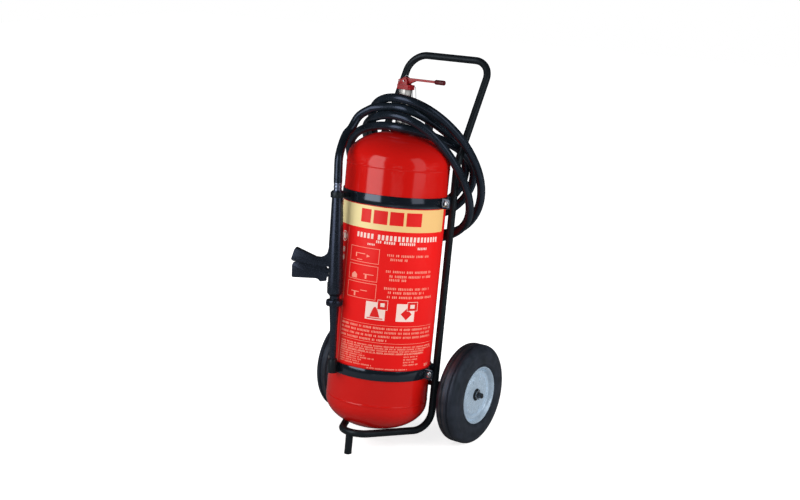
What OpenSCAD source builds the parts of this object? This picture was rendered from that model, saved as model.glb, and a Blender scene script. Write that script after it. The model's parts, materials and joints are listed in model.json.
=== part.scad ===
// Wheeled fire extinguisher: a pressure tank strapped to a tubular two-wheel trolley,
// with a lever valve, a coiled discharge hose and a pistol lance.
// Millimetres. +X is the object's right, +Y its back (handle side), +Z up, the floor at Z = 0.
// Most pieces are drawn in the leaned frame, where X stays, Y points back and Z runs up the tank.

/* [Stance] */
// Backward lean of the tank and frame, in degrees
lean_angle = 6; // [3:0.5:9]
// Distance of the leaned frame's origin behind the model's origin
frame_y = -80; // [-100:1:-60]
// Height of the leaned frame's origin above the floor
frame_z = 85.7; // [80:0.1:110]

/* [Tank] */
// Outer radius of the tank
tank_r = 152; // [140:1:160]
// Height of the lower weld seam above the leaned origin
tank_low = 61; // [50:1:90]
// Distance between the two weld seams
tank_len = 695; // [640:1:720]
// Depth of each end beyond its seam
dome_h = 98; // [90:1:120]
// Straight part of each end before its dome begins
dome_flange = 10; // [0:1:20]
// Wall of the tank
tank_wall = 3; // [2:0.5:5]
// Height of the weld beads
bead_h = 0.8; // [0.4:0.1:1.5]
// Outer radius of the neck boss
boss_r = 27.5; // [24:0.5:32]
// Height of the neck boss above the top of the dome
boss_h = 19; // [10:1:24]
// Depth of the neck boss below the top of the dome
boss_in = 14; // [10:1:20]

/* [Straps] */
// Height of the middle of the lower strap
strap_low = 156; // [130:1:200]
// Height of the middle of the upper strap
strap_high = 663; // [600:1:690]
// Width of each strap
strap_w = 31; // [24:1:40]
// Thickness of each strap
strap_t = 3; // [2:0.5:5]
// How far back from the tank's middle the strap halves meet
strap_joint = 13; // [8:1:20]
// Length of each strap flange beyond the strap
flange_len = 26; // [22:1:34]
// Diameter of the strap bolts
bolt_d = 8; // [6:1:10]

/* [Label] */
// Thickness of the label
label_t = 0.4; // [0.3:0.1:1]
// Height of the label's lower edge
label_low = 174; // [173:1:220]
// Height of the label's upper edge
label_high = 645; // [560:1:646]
// Half of the angle that the label covers
label_half = 79; // [60:1:80]
// Turn of the label's middle from the front towards the right
label_turn = 34; // [20:1:34]

/* [Frame] */
// Outer diameter of the frame tube
tube_d = 22; // [18:1:28]
// Wall of the frame tube
tube_wall = 2; // [1.5:0.5:4]
// Distance from the tank's side inwards to each leg's middle line
leg_inset = 9.3; // [5:0.1:14]
// Distance of the legs behind the tank's middle
leg_back = 93.5; // [90:0.5:110]
// Height at which the legs bend back into the handle
bow_start = 772; // [760:1:800]
// Lean of the handle behind the legs, in degrees
bow_lean = 25; // [10:1:30]
// Length of the handle above the bend
bow_len = 335; // [300:1:380]
// Bend radius at the handle's corners
bow_corner = 57; // [45:1:70]
// Bend radius where the legs turn back and turn under the tank
leg_bend = 60; // [45:1:70]
// Angle of each base arm away from straight ahead, in degrees
arm_splay = 27; // [24:1:33]
// Bend radius at the front of the base
apex_r = 52; // [40:1:60]
// Diameter of the foot peg
peg_d = 22; // [16:1:26]

/* [Axle and wheels] */
// Diameter of the axle
axle_d = 16; // [12:1:22]
// Distance from the tank's back, at the tank's base, to the axle
axle_behind = 28; // [20:1:50]
// Thickness of the axle brackets
bracket_t = 5; // [3:0.5:8]
// Height of the axle brackets at the legs
bracket_h = 56; // [40:1:70]
// Radius of the tyres
tyre_r = 152; // [140:1:160]
// Width of the tyres
tyre_w = 72; // [60:1:84]
// Distance of each wheel's middle plane from the middle
wheel_x = 222; // [215:1:240]
// Radius of the rim's edge
rim_r = 88; // [80:1:96]
// Thickness of the rim's sheet
rim_t = 2.5; // [2:0.5:4]
// Radius of the wheel hubs
hub_r = 18.5; // [16:0.5:22]
// Length by which the axle stands out of each hub
axle_end = 17; // [14:1:24]

/* [Valve] */
// Radius of the valve body
valve_r = 17.5; // [15:0.5:20]
// Height of the valve body above the neck boss
valve_h = 77; // [70:1:90]
// Length of the lever from its pivot
lever_len = 132; // [100:1:160]
// Greatest lift of the lever, in degrees
lever_lift = 80; // [60:1:80]
// Travel of the valve spindle
spindle_travel = 2.4; // [1.5:0.1:2.6]
// Diameter of the safety pin
safety_d = 3; // [2:0.5:4]

/* [Lance] */
// Turn of the pistol grip from the right, seen from above, in degrees
grip_turn = 212; // [205:1:220]
// Length of the nozzle tube
nozzle_len = 160; // [140:1:164]
// Radius of the knurled coupling ring
ring_r = 25; // [22:0.5:25.5]
// Largest radius of the lance barrel
barrel_r = 22.4; // [21:0.1:24]
// Length of the lance barrel above the coupling ring
barrel_len = 301; // [290:1:320]
// Thickness of the fixed grip
grip_w = 30; // [26:1:34]
// Thickness of the trigger
trigger_w = 20; // [12:1:22]
// Greatest squeeze of the trigger, in degrees
trigger_squeeze = 10; // [6:1:10]

/* [Hose] */
// Outer diameter of the hose
hose_d = 25; // [20:1:25]
// Inner diameter of the hose
hose_bore = 14; // [10:1:19]

/* [Clearances] */
// Gap between curved pieces that are clamped together
seat_gap = 0.3; // [0.2:0.05:0.4]
// Radial clearance of pins, shafts and threads in their bores
pin_gap = 0.05; // [0.03:0.01:0.1]
// Side gap beside pieces that turn between two walls
side_gap = 0.4; // [0.2:0.1:0.5]

/* [Hidden] */

round_fn = 96;
small_fn = 48;

tube_r = tube_d / 2;
leg_x = tank_r - leg_inset;
tank_high = tank_low + tank_len;
tank_top = tank_high + dome_h;
strap_in = tank_r + seat_gap;
strap_out = strap_in + strap_t;
boss_top = tank_top + boss_h;
axle_y = frame_y + tank_r + axle_behind;
axle_z = tyre_r;
axle_r = axle_d / 2;

// The axle's place in the leaned frame
axle_back = (axle_y - frame_y) * cos(lean_angle) - (axle_z - frame_z) * sin(lean_angle);
axle_up = (axle_y - frame_y) * sin(lean_angle) + (axle_z - frame_z) * cos(lean_angle);

// The base arms pass this far from the tank's axis, and the dome rests on them
arm_dist = leg_x * cos(arm_splay) - leg_back * sin(arm_splay);
apex_back = (apex_r - arm_dist) / sin(arm_splay);
arm_end = [apex_r * cos(arm_splay), apex_back - apex_r * sin(arm_splay)];
arm_len = thousandth(norm([leg_x - arm_end[0], leg_back - arm_end[1]]));
seat_r = tube_r + seat_gap;
dome_rise = dome_h - dome_flange;
function dome_norm(q) = norm([dome_rise * sin(q), tank_r * cos(q)]);
function seat_angle(q, steps) =
    steps == 0 ? q
    : seat_angle(asin((arm_dist - seat_r * dome_rise * sin(q) / dome_norm(q)) / tank_r), steps - 1);
seat_q = seat_angle(30, 8);
base_up = tank_low - dome_flange - dome_rise * cos(seat_q)
    - seat_r * tank_r * cos(seat_q) / dome_norm(seat_q);

// ---- shared shapes ----

module leaned() translate([0, frame_y, frame_z]) rotate([-lean_angle, 0, 0]) children();

module ring(r_out, r_in, h) {
    difference() {
        cylinder(r = r_out, h = h, $fn = round_fn);
        translate([0, 0, -1]) cylinder(r = r_in, h = h + 2, $fn = round_fn);
    }
}

// Bent rod in the XY plane, from [radius, 0] round the origin by turn degrees
module bend(r, radius, turn) rotate_extrude(angle = turn, $fn = round_fn) translate([radius, 0])
    circle(r = r, $fn = small_fn);
// Lengths of the tubes are kept to a thousandth, so that their runs and bends meet face to face
function thousandth(v) = round(v * 1000) / 1000;
bore_r = tube_r - tube_wall;

module hexagon(across, h) cylinder(r = across / 2 / cos(30), h = h, $fn = 6);

// ---- tank ----

dome_step = 6;
bead_half = 3;

// Points of a dome from the equator to the radius r_end, up or down
function dome_arc(r, h, base, sign, r_end) =
    let (last = acos(r_end / r), n = ceil(last / dome_step))
    [for (i = [0:n]) let (a = max(2.5, last * i / n)) [r * cos(a), base + sign * h * sin(a)]];
function flip(list) = [for (i = [len(list) - 1:-1:0]) list[i]];
function bead(z) = [
    [tank_r, z - bead_half], [tank_r + bead_h, z - bead_half / 2],
    [tank_r + bead_h, z + bead_half / 2], [tank_r, z + bead_half]
];
boss_hole = boss_r + 2 * pin_gap;
dome_low = tank_low - dome_flange;
dome_high = tank_high + dome_flange;

module tank_shell() color("red") leaned() rotate_extrude($fn = round_fn) polygon(concat(
    flip(dome_arc(tank_r, dome_rise, dome_low, -1, 0)), bead(tank_low), bead(tank_high),
    dome_arc(tank_r, dome_rise, dome_high, 1, boss_hole),
    flip(dome_arc(tank_r - tank_wall, dome_rise - tank_wall, dome_high, 1, boss_hole)),
    dome_arc(tank_r - tank_wall, dome_rise - tank_wall, dome_low, -1, 0)
));

shank_r = valve_r + 1;
module neck_boss() color("red") leaned() translate([0, 0, tank_top - boss_in]) difference() {
    union() {
        cylinder(r = boss_r, h = boss_in + boss_h - 3, $fn = round_fn);
        translate([0, 0, boss_in + boss_h - 3]) cylinder(r1 = boss_r, r2 = boss_r - 2, h = 3, $fn = round_fn);
    }
    translate([0, 0, -1]) cylinder(r = shank_r + pin_gap, h = boss_in + boss_h + 2, $fn = round_fn);
    translate([-boss_r - 1, 0, plug_rise]) rotate([0, 90, 0])
        cylinder(r = relief_r + pin_gap, h = relief_in + 1, $fn = small_fn);
}

// Relief plug, screwed into the left side of the boss
relief_r = 5;
relief_in = 6;
relief_hex = 13;
relief_len = 11;
plug_rise = boss_in + 9;
module relief_plug() color("silver") leaned() translate([-boss_r, 0, tank_top - boss_in + plug_rise])
rotate([0, -90, 0]) {
    translate([0, 0, -relief_in]) cylinder(r = relief_r, h = relief_in + 1, $fn = small_fn);
    translate([0, 0, 1]) hexagon(relief_hex, relief_len - 4);
    translate([0, 0, relief_len - 3]) cylinder(r = relief_r, h = 3, $fn = small_fn);
}

siphon_r = 9;
siphon_plug = 12;
siphon_low = 4;
strainer_h = 22;
module siphon_tube() color("silver") leaned() translate([0, 0, siphon_low])
    ring(siphon_r, siphon_r - 1.5, tank_top - boss_in + siphon_plug - siphon_low);

module siphon_strainer() color("gray") leaned() translate([0, 0, siphon_low - 6]) difference() {
    cylinder(r = siphon_r + 3, h = strainer_h, $fn = small_fn);
    translate([0, 0, 6]) cylinder(r = siphon_r + pin_gap, h = strainer_h, $fn = small_fn);
    translate([0, 0, -1]) cylinder(r = siphon_r - 3, h = strainer_h, $fn = small_fn);
    for (a = [0:60:120]) rotate([0, 0, a]) translate([-2, -20, -1]) cube([4, 40, 5]);
}

label_gap = 0.1;
module label_sheet() color("crimson") leaned() translate([0, 0, label_low])
    rotate([0, 0, label_turn - 90 - label_half]) rotate_extrude(angle = 2 * label_half, $fn = round_fn)
    translate([tank_r + label_gap, 0]) square([label_t, label_high - label_low]);

// ---- straps ----

bolt_x = strap_out + flange_len - 12;
bolt_r = bolt_d / 2;
flange_w = strap_w - 1;

// One flange on the right, its joint face at strap_joint, its plate to the given side
module strap_flange(side) {
    start = tank_r - 4;
    end = strap_out + flange_len;
    rounding = 7;
    low = side < 0 ? strap_joint - strap_t : strap_joint;
    difference() {
        translate([0, low + strap_t, 0]) rotate([90, 0, 0]) linear_extrude(strap_t) union() {
            translate([start, -flange_w / 2]) square([end - rounding - start, flange_w]);
            translate([start, rounding - flange_w / 2]) square([end - start, flange_w - 2 * rounding]);
            for (v = [-1, 1]) translate([end - rounding, v * (flange_w / 2 - rounding)])
                circle(r = rounding, $fn = small_fn);
        }
        translate([bolt_x, low - 1, 0]) rotate([-90, 0, 0])
            cylinder(r = bolt_r + pin_gap, h = strap_t + 2, $fn = small_fn);
        translate([0, 0, -strap_w]) cylinder(r = strap_in + strap_t / 2, h = 2 * strap_w, $fn = round_fn);
    }
}

// The front half runs round the front, the rear half round the back, each with two flanges
module strap_half(side) {
    half_turn = asin((strap_joint + side * strap_t / 2) / strap_out);
    turn = side < 0 ? 180 + 2 * half_turn : 180 - 2 * half_turn;
    start = side < 0 ? 180 - half_turn : half_turn;
    translate([0, 0, -strap_w / 2]) rotate([0, 0, start]) rotate_extrude(angle = turn, $fn = round_fn)
        translate([strap_in, 0]) square([strap_t, strap_w]);
    strap_flange(side);
    mirror([1, 0, 0]) strap_flange(side);
}

// Welded saddle between a rear strap and a leg
leg_reach = norm([leg_x, leg_back]) - tube_r;
saddle_w = 16;
saddle_h = strap_w - 4;
module saddle() rotate([0, 0, atan2(leg_back, leg_x)]) difference() {
    translate([strap_in + strap_t / 2, -saddle_w / 2, -saddle_h / 2])
        cube([leg_reach - strap_in + 1, saddle_w, saddle_h]);
    translate([leg_reach + tube_r, 0, -strap_w])
        cylinder(r = tube_r + pin_gap, h = 2 * strap_w, $fn = small_fn);
}

module rear_strap() {
    strap_half(1);
    saddle();
    mirror([1, 0, 0]) saddle();
}

module front_strap_low() color("dimgray") leaned() translate([0, 0, strap_low]) strap_half(-1);
module front_strap_high() color("dimgray") leaned() translate([0, 0, strap_high]) strap_half(-1);
module rear_strap_low() color("dimgray") leaned() translate([0, 0, strap_low]) rear_strap();
module rear_strap_high() color("dimgray") leaned() translate([0, 0, strap_high]) rear_strap();

module at_bolts() leaned() for (x = [-bolt_x, bolt_x], z = [strap_low, strap_high])
    translate([x, strap_joint, z]) rotate([90, 0, 0]) children();
head_h = 5.5;
nut_h = 6.5;
module strap_bolts() color("silver") at_bolts() {
    translate([0, 0, strap_t]) cylinder(r = 1.15 * bolt_d, h = 1.2, $fn = small_fn);
    translate([0, 0, strap_t + 1.2]) hexagon(1.6 * bolt_d, head_h);
    translate([0, 0, -strap_t - nut_h - 3])
        cylinder(r = bolt_r, h = 2 * strap_t + nut_h + 3.5, $fn = small_fn);
}
module strap_nuts() color("silver") at_bolts() translate([0, 0, -strap_t - nut_h]) difference() {
    hexagon(1.6 * bolt_d, nut_h);
    translate([0, 0, -1]) cylinder(r = bolt_r + pin_gap, h = nut_h + 2, $fn = small_fn);
}

// ---- frame ----

bow_bend = thousandth(leg_bend * tan(bow_lean / 2));
leg_low = base_up + leg_bend;
leg_top = bow_start - bow_bend;

module leg() leaned() translate([leg_x, leg_back, leg_low]) ring(tube_r, bore_r, leg_top - leg_low);
module leg_right() color("black") leg();
module leg_left() color("black") mirror([1, 0, 0]) leg();

module bow_side(r) {
    translate([leg_x, leg_bend, bow_bend]) rotate([90, 0, 90]) rotate([0, 0, 180])
        bend(r, leg_bend, bow_lean);
    translate([leg_x, 0, bow_bend]) cylinder(r = r, h = bow_len - bow_corner - bow_bend, $fn = small_fn);
    translate([leg_x - bow_corner, 0, bow_len - bow_corner]) rotate([90, 0, 0]) bend(r, bow_corner, 90);
}
module bow_rod(r) {
    bow_side(r);
    mirror([1, 0, 0]) bow_side(r);
    translate([bow_corner - leg_x, 0, bow_len]) rotate([0, 90, 0])
        cylinder(r = r, h = 2 * (leg_x - bow_corner), $fn = small_fn);
}
module handle_bow() color("black") leaned() translate([0, leg_back, bow_start]) rotate([-bow_lean, 0, 0])
difference() {
    bow_rod(tube_r);
    bow_rod(bore_r);
}

// One base arm: down from the leg, forward to the middle, and round to the front
module arm_rod(r) {
    translate([leg_bend, 0, leg_bend]) rotate([90, 0, 0]) rotate([0, 0, 180]) bend(r, leg_bend, 90);
    translate([leg_bend, 0, 0]) rotate([0, 90, 0]) cylinder(r = r, h = arm_len - leg_bend, $fn = small_fn);
    translate([arm_len, -apex_r, 0]) rotate([0, 0, 90]) rotate([180, 0, 0]) bend(r, apex_r, 90 - arm_splay);
}
module arm() leaned() translate([leg_x, leg_back, base_up]) rotate([0, 0, -90 - arm_splay]) difference() {
    arm_rod(tube_r);
    arm_rod(bore_r);
}
module base_arm_right() color("black") arm();
module base_arm_left() color("black") mirror([1, 0, 0]) arm();

peg_back = apex_back - apex_r;
peg_down = (frame_z - peg_back * sin(lean_angle)) / cos(lean_angle) + peg_d;
module foot_peg() color("black") difference() {
    leaned() difference() {
        translate([0, peg_back, -peg_down]) cylinder(r = peg_d / 2, h = peg_down + base_up, $fn = small_fn);
        translate([0, apex_back, base_up]) rotate_extrude($fn = round_fn) translate([apex_r, 0])
            circle(r = tube_r + pin_gap, $fn = small_fn);
    }
    translate([-100, frame_y - 300, -100]) cube([200, 300, 100]);
}

// ---- axle, brackets and wheels ----

bracket_front = leg_back + tube_r + pin_gap;
bracket_eye = axle_r + 8;
module bracket() leaned() rotate([90, 0, 90]) translate([0, 0, leg_x - bracket_t / 2]) difference() {
    union() {
        linear_extrude(bracket_t) polygon([
            [bracket_front, axle_up - bracket_h / 2], [bracket_front, axle_up + bracket_h / 2],
            [bracket_front + 12, axle_up + bracket_h / 2],
            [axle_back + 2, axle_up + bracket_eye - 0.6], [axle_back + 2, axle_up - bracket_eye + 0.6],
            [bracket_front + 12, axle_up - bracket_h / 2]
        ]);
        translate([axle_back, axle_up, 0]) cylinder(r = bracket_eye, h = bracket_t, $fn = small_fn);
    }
    translate([axle_back, axle_up, -1]) cylinder(r = axle_r + pin_gap, h = bracket_t + 2, $fn = small_fn);
}
module axle_bracket_right() color("black") bracket();
module axle_bracket_left() color("black") mirror([1, 0, 0]) bracket();

hub_out = wheel_x + tyre_w / 2 - 8.5;
hub_in = wheel_x - tyre_w / 2 + 7;
washer_t = 2.5;
axle_half = hub_out + axle_end;
split_r = 1.6;
split_x = hub_out + side_gap + washer_t + side_gap + split_r;

module along_axle(x) translate([0, axle_y, axle_z]) rotate([0, 90, 0]) translate([0, 0, x]) children();
module both_sides() {
    children();
    mirror([1, 0, 0]) children();
}

module axle_rod() color("silver") difference() {
    along_axle(-axle_half) {
        translate([0, 0, 1.5]) cylinder(r = axle_r, h = 2 * axle_half - 3, $fn = small_fn);
        cylinder(r1 = axle_r - 1.5, r2 = axle_r, h = 1.5, $fn = small_fn);
        translate([0, 0, 2 * axle_half - 1.5])
            cylinder(r1 = axle_r, r2 = axle_r - 1.5, h = 1.5, $fn = small_fn);
    }
    for (x = [-split_x, split_x]) translate([x, axle_y, axle_z - 20])
        cylinder(r = split_r + pin_gap, h = 40, $fn = small_fn);
}

spacer_start = leg_x + bracket_t / 2;
module axle_spacers() color("black") both_sides() along_axle(spacer_start)
    ring(axle_r + 3, axle_r + pin_gap, hub_in - side_gap - spacer_start);
module axle_washers() color("silver") both_sides() along_axle(hub_out + side_gap)
    ring(axle_r + 5, axle_r + pin_gap, washer_t);
module split_pins() color("silver") both_sides() translate([split_x, axle_y, axle_z]) {
    translate([0, 0, -axle_r - 6]) cylinder(r = split_r, h = 2 * axle_r + 10, $fn = small_fn);
    translate([0, 0, axle_r + 6.5]) rotate([0, 90, 0]) rotate_extrude($fn = small_fn) translate([2.8, 0])
        circle(r = 1.2, $fn = 16);
}

// Right wheel, drawn with its axis along Z and its outer side up, then laid over onto the axle
groove_w = 3;
groove_h = 3;
bead_r = rim_r - 3.7;
tyre_half = tyre_w / 2;
module groove(z) translate([tyre_r - groove_h, z - groove_w / 2]) square([groove_h + 1, groove_w]);
module tyre_solid() rotate_extrude($fn = round_fn) difference() {
    polygon([
        [bead_r, -tyre_half + 10], [rim_r + 0.5, -tyre_half + 5], [rim_r + 9, -tyre_half + 1],
        [rim_r + 24, -tyre_half], [tyre_r - 22, -tyre_half + 1.5], [tyre_r - 11, -tyre_half + 5],
        [tyre_r - 4, -tyre_half + 10], [tyre_r - 1, -tyre_half + 16], [tyre_r, -tyre_half + 22],
        [tyre_r, tyre_half - 22], [tyre_r - 1, tyre_half - 16], [tyre_r - 4, tyre_half - 10],
        [tyre_r - 11, tyre_half - 5], [tyre_r - 22, tyre_half - 1.5], [rim_r + 24, tyre_half],
        [rim_r + 9, tyre_half - 1], [rim_r + 0.5, tyre_half - 5], [bead_r, tyre_half - 10]
    ]);
    for (z = [-1.5, -0.5, 0.5, 1.5]) groove(z * 9);
}

rib_count = 8;
well_r = bead_r - seat_gap;
dish_z = tyre_half - 19;
disc_rise = 4;
disc_z = dish_z + disc_rise + rim_t;
rib_h = 1.5;
module rim_rib() {
    for (x = [42, 54]) translate([x, 0, disc_z - 1]) cylinder(r = 3.5, h = rib_h + 1, $fn = small_fn);
    translate([42, -3.5, disc_z - 1]) cube([12, 7, rib_h + 1]);
}
module rim_solid() {
    rotate_extrude($fn = round_fn) difference() {
        polygon([
            [well_r, -tyre_half + 9], [rim_r, -tyre_half + 4], [rim_r, -tyre_half + 2],
            [rim_r - 2, -tyre_half + 2], [well_r - rim_t, -tyre_half + 8],
            [well_r - rim_t, dish_z], [67, dish_z], [61, dish_z + disc_rise],
            [hub_r + pin_gap, dish_z + disc_rise], [hub_r + pin_gap, disc_z], [60, disc_z],
            [66, dish_z + rim_t], [75, dish_z + rim_t + 1],
            [well_r - rim_t - 2, tyre_half - 8], [rim_r - 3, tyre_half - 2.5], [rim_r - 1.5, tyre_half - 2],
            [rim_r, tyre_half - 3], [rim_r, tyre_half - 4], [well_r, tyre_half - 9]
        ]);
    }
    for (i = [0:rib_count - 1]) rotate([0, 0, 360 * (i + 0.5) / rib_count]) rim_rib();
}
module hub_solid() translate([0, 0, hub_in - wheel_x]) difference() {
    union() {
        cylinder(r = hub_r, h = hub_out - hub_in - 2, $fn = small_fn);
        translate([0, 0, hub_out - hub_in - 2]) cylinder(r1 = hub_r, r2 = hub_r - 2, h = 2, $fn = small_fn);
    }
    translate([0, 0, -1]) cylinder(r = axle_r + pin_gap, h = hub_out - hub_in + 2, $fn = small_fn);
}

module tyre_right() color("black") along_axle(wheel_x) tyre_solid();
module rim_right() color("silver") along_axle(wheel_x) rim_solid();
module hub_right() color("dimgray") along_axle(wheel_x) hub_solid();
module tyre_left() color("black") mirror([1, 0, 0]) along_axle(wheel_x) tyre_solid();
module rim_left() color("silver") mirror([1, 0, 0]) along_axle(wheel_x) rim_solid();
module hub_left() color("dimgray") mirror([1, 0, 0]) along_axle(wheel_x) hub_solid();

// ---- valve ----

body_top = boss_top + valve_h;
nut_len = 26;
head_base = body_top + nut_len;
head_t = 14;
lower_hex = 18;
passage_r = 9;
port_r = 6;
spindle_r = 4;
outlet_up = boss_top + 42;
outlet_r = 12;
outlet_end = 33;
seat_up = outlet_up - 10;
pivot_up = head_base + head_t + 10;
cam_r = 9;
cam_rise = 3.3;
hub_w = 16;
lever_bore = 2.5;
cheek_t = 5;
cheek_in = hub_w / 2 + side_gap;
spindle_top = pivot_up + cam_rise - cam_r - side_gap;

module valve_body() color("gainsboro") leaned() difference() {
    union() {
        translate([0, 0, tank_top - boss_in]) cylinder(r = shank_r, h = boss_in + boss_h, $fn = round_fn);
        translate([0, 0, boss_top]) hexagon(2 * valve_r + 6, lower_hex);
        translate([0, 0, boss_top + lower_hex])
            cylinder(r = valve_r, h = valve_h - lower_hex, $fn = round_fn);
        translate([0, 0, outlet_up]) rotate([-90, 0, 0])
            cylinder(r = outlet_r, h = outlet_end, $fn = small_fn);
    }
    translate([0, 0, tank_top - boss_in - 1])
        cylinder(r = siphon_r + pin_gap, h = siphon_plug + 1, $fn = small_fn);
    translate([0, 0, tank_top - boss_in])
        cylinder(r = siphon_r - 1.5, h = seat_up - tank_top + boss_in - 20, $fn = small_fn);
    translate([0, 0, seat_up - 25]) cylinder(r = passage_r, h = 25, $fn = small_fn);
    translate([0, 0, seat_up - 1]) cylinder(r = port_r, h = outlet_up - seat_up, $fn = small_fn);
    translate([0, 0, outlet_up - 2]) cylinder(r = spindle_r + pin_gap, h = valve_h, $fn = small_fn);
    translate([0, 0, outlet_up]) rotate([-90, 0, 0])
        cylinder(r = hose_bore / 2, h = outlet_end + 1, $fn = small_fn);
}

module bonnet_nut() color("gainsboro") leaned() translate([0, 0, body_top]) difference() {
    hexagon(2 * valve_r + 2, nut_len);
    translate([0, 0, -1]) cylinder(r = spindle_r + pin_gap, h = nut_len + 2, $fn = small_fn);
}

head_x = 44;
head_w = 34;
head_round = 6;
fork_r = 10;
safety_x = -15;
module head_outline() {
    square([head_x - 2 * head_round, head_w], center = true);
    square([head_x, head_w - 2 * head_round], center = true);
    for (x = [-1, 1], y = [-1, 1]) translate([x * (head_x / 2 - head_round), y * (head_w / 2 - head_round)])
        circle(r = head_round, $fn = small_fn);
}
module cheek() linear_extrude(cheek_t) {
    translate([safety_x, 0]) square([fork_r - safety_x, pivot_up - head_base - head_t]);
    translate([0, pivot_up - head_base - head_t]) circle(r = fork_r, $fn = small_fn);
    translate([safety_x, pivot_up - head_base - head_t]) circle(r = 5, $fn = small_fn);
    translate([safety_x - 5, 0]) square([5.5, pivot_up - head_base - head_t]);
    translate([safety_x, 0]) square([-safety_x, pivot_up - head_base - head_t + 5]);
}
module valve_head() color("firebrick") leaned() difference() {
    union() {
        translate([0, 0, head_base]) linear_extrude(head_t) head_outline();
        for (y = [cheek_in + cheek_t, -cheek_in])
            translate([0, y, head_base + head_t]) rotate([90, 0, 0]) cheek();
    }
    translate([0, 0, head_base - 1]) cylinder(r = spindle_r + pin_gap, h = head_t + 2, $fn = small_fn);
    translate([0, -30, pivot_up]) rotate([-90, 0, 0])
        cylinder(r = lever_bore + pin_gap, h = 60, $fn = small_fn);
    translate([safety_x, -30, pivot_up]) rotate([-90, 0, 0])
        cylinder(r = safety_d / 2 + pin_gap, h = 60, $fn = small_fn);
}

plug_t = 5;
plug_up = seat_up - plug_t - 0.1;
module valve_spindle() color("silver") leaned() {
    translate([0, 0, plug_up]) cylinder(r = spindle_r, h = spindle_top - plug_up, $fn = small_fn);
    translate([0, 0, plug_up]) cylinder(r = passage_r - 1, h = plug_t, $fn = small_fn);
}

module lever_pin() color("silver") leaned() translate([0, -cheek_in - cheek_t - 2, pivot_up])
    rotate([-90, 0, 0]) cylinder(r = lever_bore, h = 2 * (cheek_in + cheek_t + 2), $fn = small_fn);

grip_len = 33;
arm_up = 6.5;
arm_t = 7;
arm_w = 10;
grip_r = 7;
module lever_arm() color("firebrick") leaned() translate([0, 0, pivot_up]) difference() {
    union() {
        translate([0, hub_w / 2, cam_rise]) rotate([90, 0, 0]) cylinder(r = cam_r, h = hub_w, $fn = small_fn);
        translate([0, -arm_w / 2, arm_up - arm_t / 2]) cube([lever_len - grip_len, arm_w, arm_t]);
        translate([0, arm_w / 2, 0]) rotate([90, 0, 0]) linear_extrude(arm_w)
            polygon([[5, arm_up], [9, -5], [15, -6], [34, arm_up - arm_t / 2], [34, arm_up]]);
    }
    translate([0, -hub_w, 0]) rotate([-90, 0, 0])
        cylinder(r = lever_bore + pin_gap, h = 2 * hub_w, $fn = small_fn);
}
module lever_grip() color("black") leaned() translate([lever_len - grip_len, 0, pivot_up + arm_up])
    rotate([0, 90, 0]) {
        cylinder(r1 = grip_r - 1.5, r2 = grip_r, h = 3, $fn = small_fn);
        translate([0, 0, 3]) cylinder(r = grip_r, h = grip_len - 5, $fn = small_fn);
        translate([0, 0, grip_len - 2]) cylinder(r1 = grip_r, r2 = grip_r - 2, h = 2, $fn = small_fn);
    }

safety_back = cheek_in + cheek_t + 8;
pin_ring_r = 8;
module safety_pin() color("silver") leaned() translate([safety_x, 0, pivot_up]) rotate([-90, 0, 0]) {
    translate([0, 0, -cheek_in - cheek_t - 3])
        cylinder(r = safety_d / 2, h = safety_back + cheek_in + cheek_t + 3, $fn = small_fn);
    translate([0, 0, cheek_in + cheek_t + 0.5]) cylinder(r = safety_d, h = 2, $fn = small_fn);
}
module pin_ring() color("silver") leaned() translate([safety_x, safety_back + 0.8, pivot_up + pin_ring_r])
    rotate([90, 0, 0]) rotate_extrude($fn = small_fn) translate([pin_ring_r, 0]) circle(r = 0.8, $fn = 16);

// A closed wire loop that hangs on the right of the valve head
tether_h = 26;
tether_r = 6;
tether_x = head_x / 2 + 1;
module tether_loop() color("silver") leaned() translate([tether_x, 0, head_base + 4]) rotate([90, -8, 0]) {
    for (x = [0, 2 * tether_r]) translate([x, 0, 0]) rotate([90, 0, 0])
        cylinder(r = 0.8, h = tether_h, $fn = 16);
    translate([tether_r, 0, 0]) rotate_extrude(angle = 180, $fn = small_fn) translate([tether_r, 0])
        circle(r = 0.8, $fn = 16);
    translate([tether_r, -tether_h, 0]) rotate([0, 0, 180]) rotate_extrude(angle = 180, $fn = small_fn)
        translate([tether_r, 0]) circle(r = 0.8, $fn = 16);
}

nut_back = 24;
nut_w = 18;
module outlet_nut() color("gainsboro") leaned() translate([0, nut_back, outlet_up]) rotate([-90, 0, 0])
difference() {
    hexagon(2 * outlet_r + 7, nut_w);
    translate([0, 0, -1]) cylinder(r = outlet_r + pin_gap, h = nut_w + 2, $fn = small_fn);
}
ferrule_end = 70;
module ferrule_valve() color("silver") leaned() translate([0, outlet_end, outlet_up]) rotate([-90, 0, 0])
difference() {
    union() {
        cylinder(r = outlet_r, h = nut_back + nut_w - outlet_end, $fn = small_fn);
        translate([0, 0, nut_back + nut_w - outlet_end])
            cylinder(r = hose_d / 2 + 2, h = ferrule_end - nut_back - nut_w, $fn = small_fn);
    }
    translate([0, 0, -1]) cylinder(r = hose_bore / 2, h = ferrule_end, $fn = small_fn);
}

// ---- lance ----

// The lance hangs in front of the straps on the left. Its own Z runs up its axis from the ring's top.
lance_x = -68.3;
lance_front = tank_r + 13;
lance_up = 357.7;
lance_side_lean = -3.3;
lance_out_lean = 1;
module lance() leaned() translate([lance_x, -lance_front, lance_up])
    rotate([lance_out_lean, lance_side_lean, 0]) children();
// The grip plane: X away from the barrel along the grip, Y up the lance, Z across
module grip_plane() lance() rotate([0, 0, grip_turn]) rotate([90, 0, 0]) children();

lance_bore = 7;
collar_h = 16;
ferrule_h = 23;
collar_r = 17.5;
ring_h = 19;
pivot_d = 17.5;
pivot_s = 78;
trigger_pin_r = 2.5;
slot_w = trigger_w + 2 * side_gap;

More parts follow.
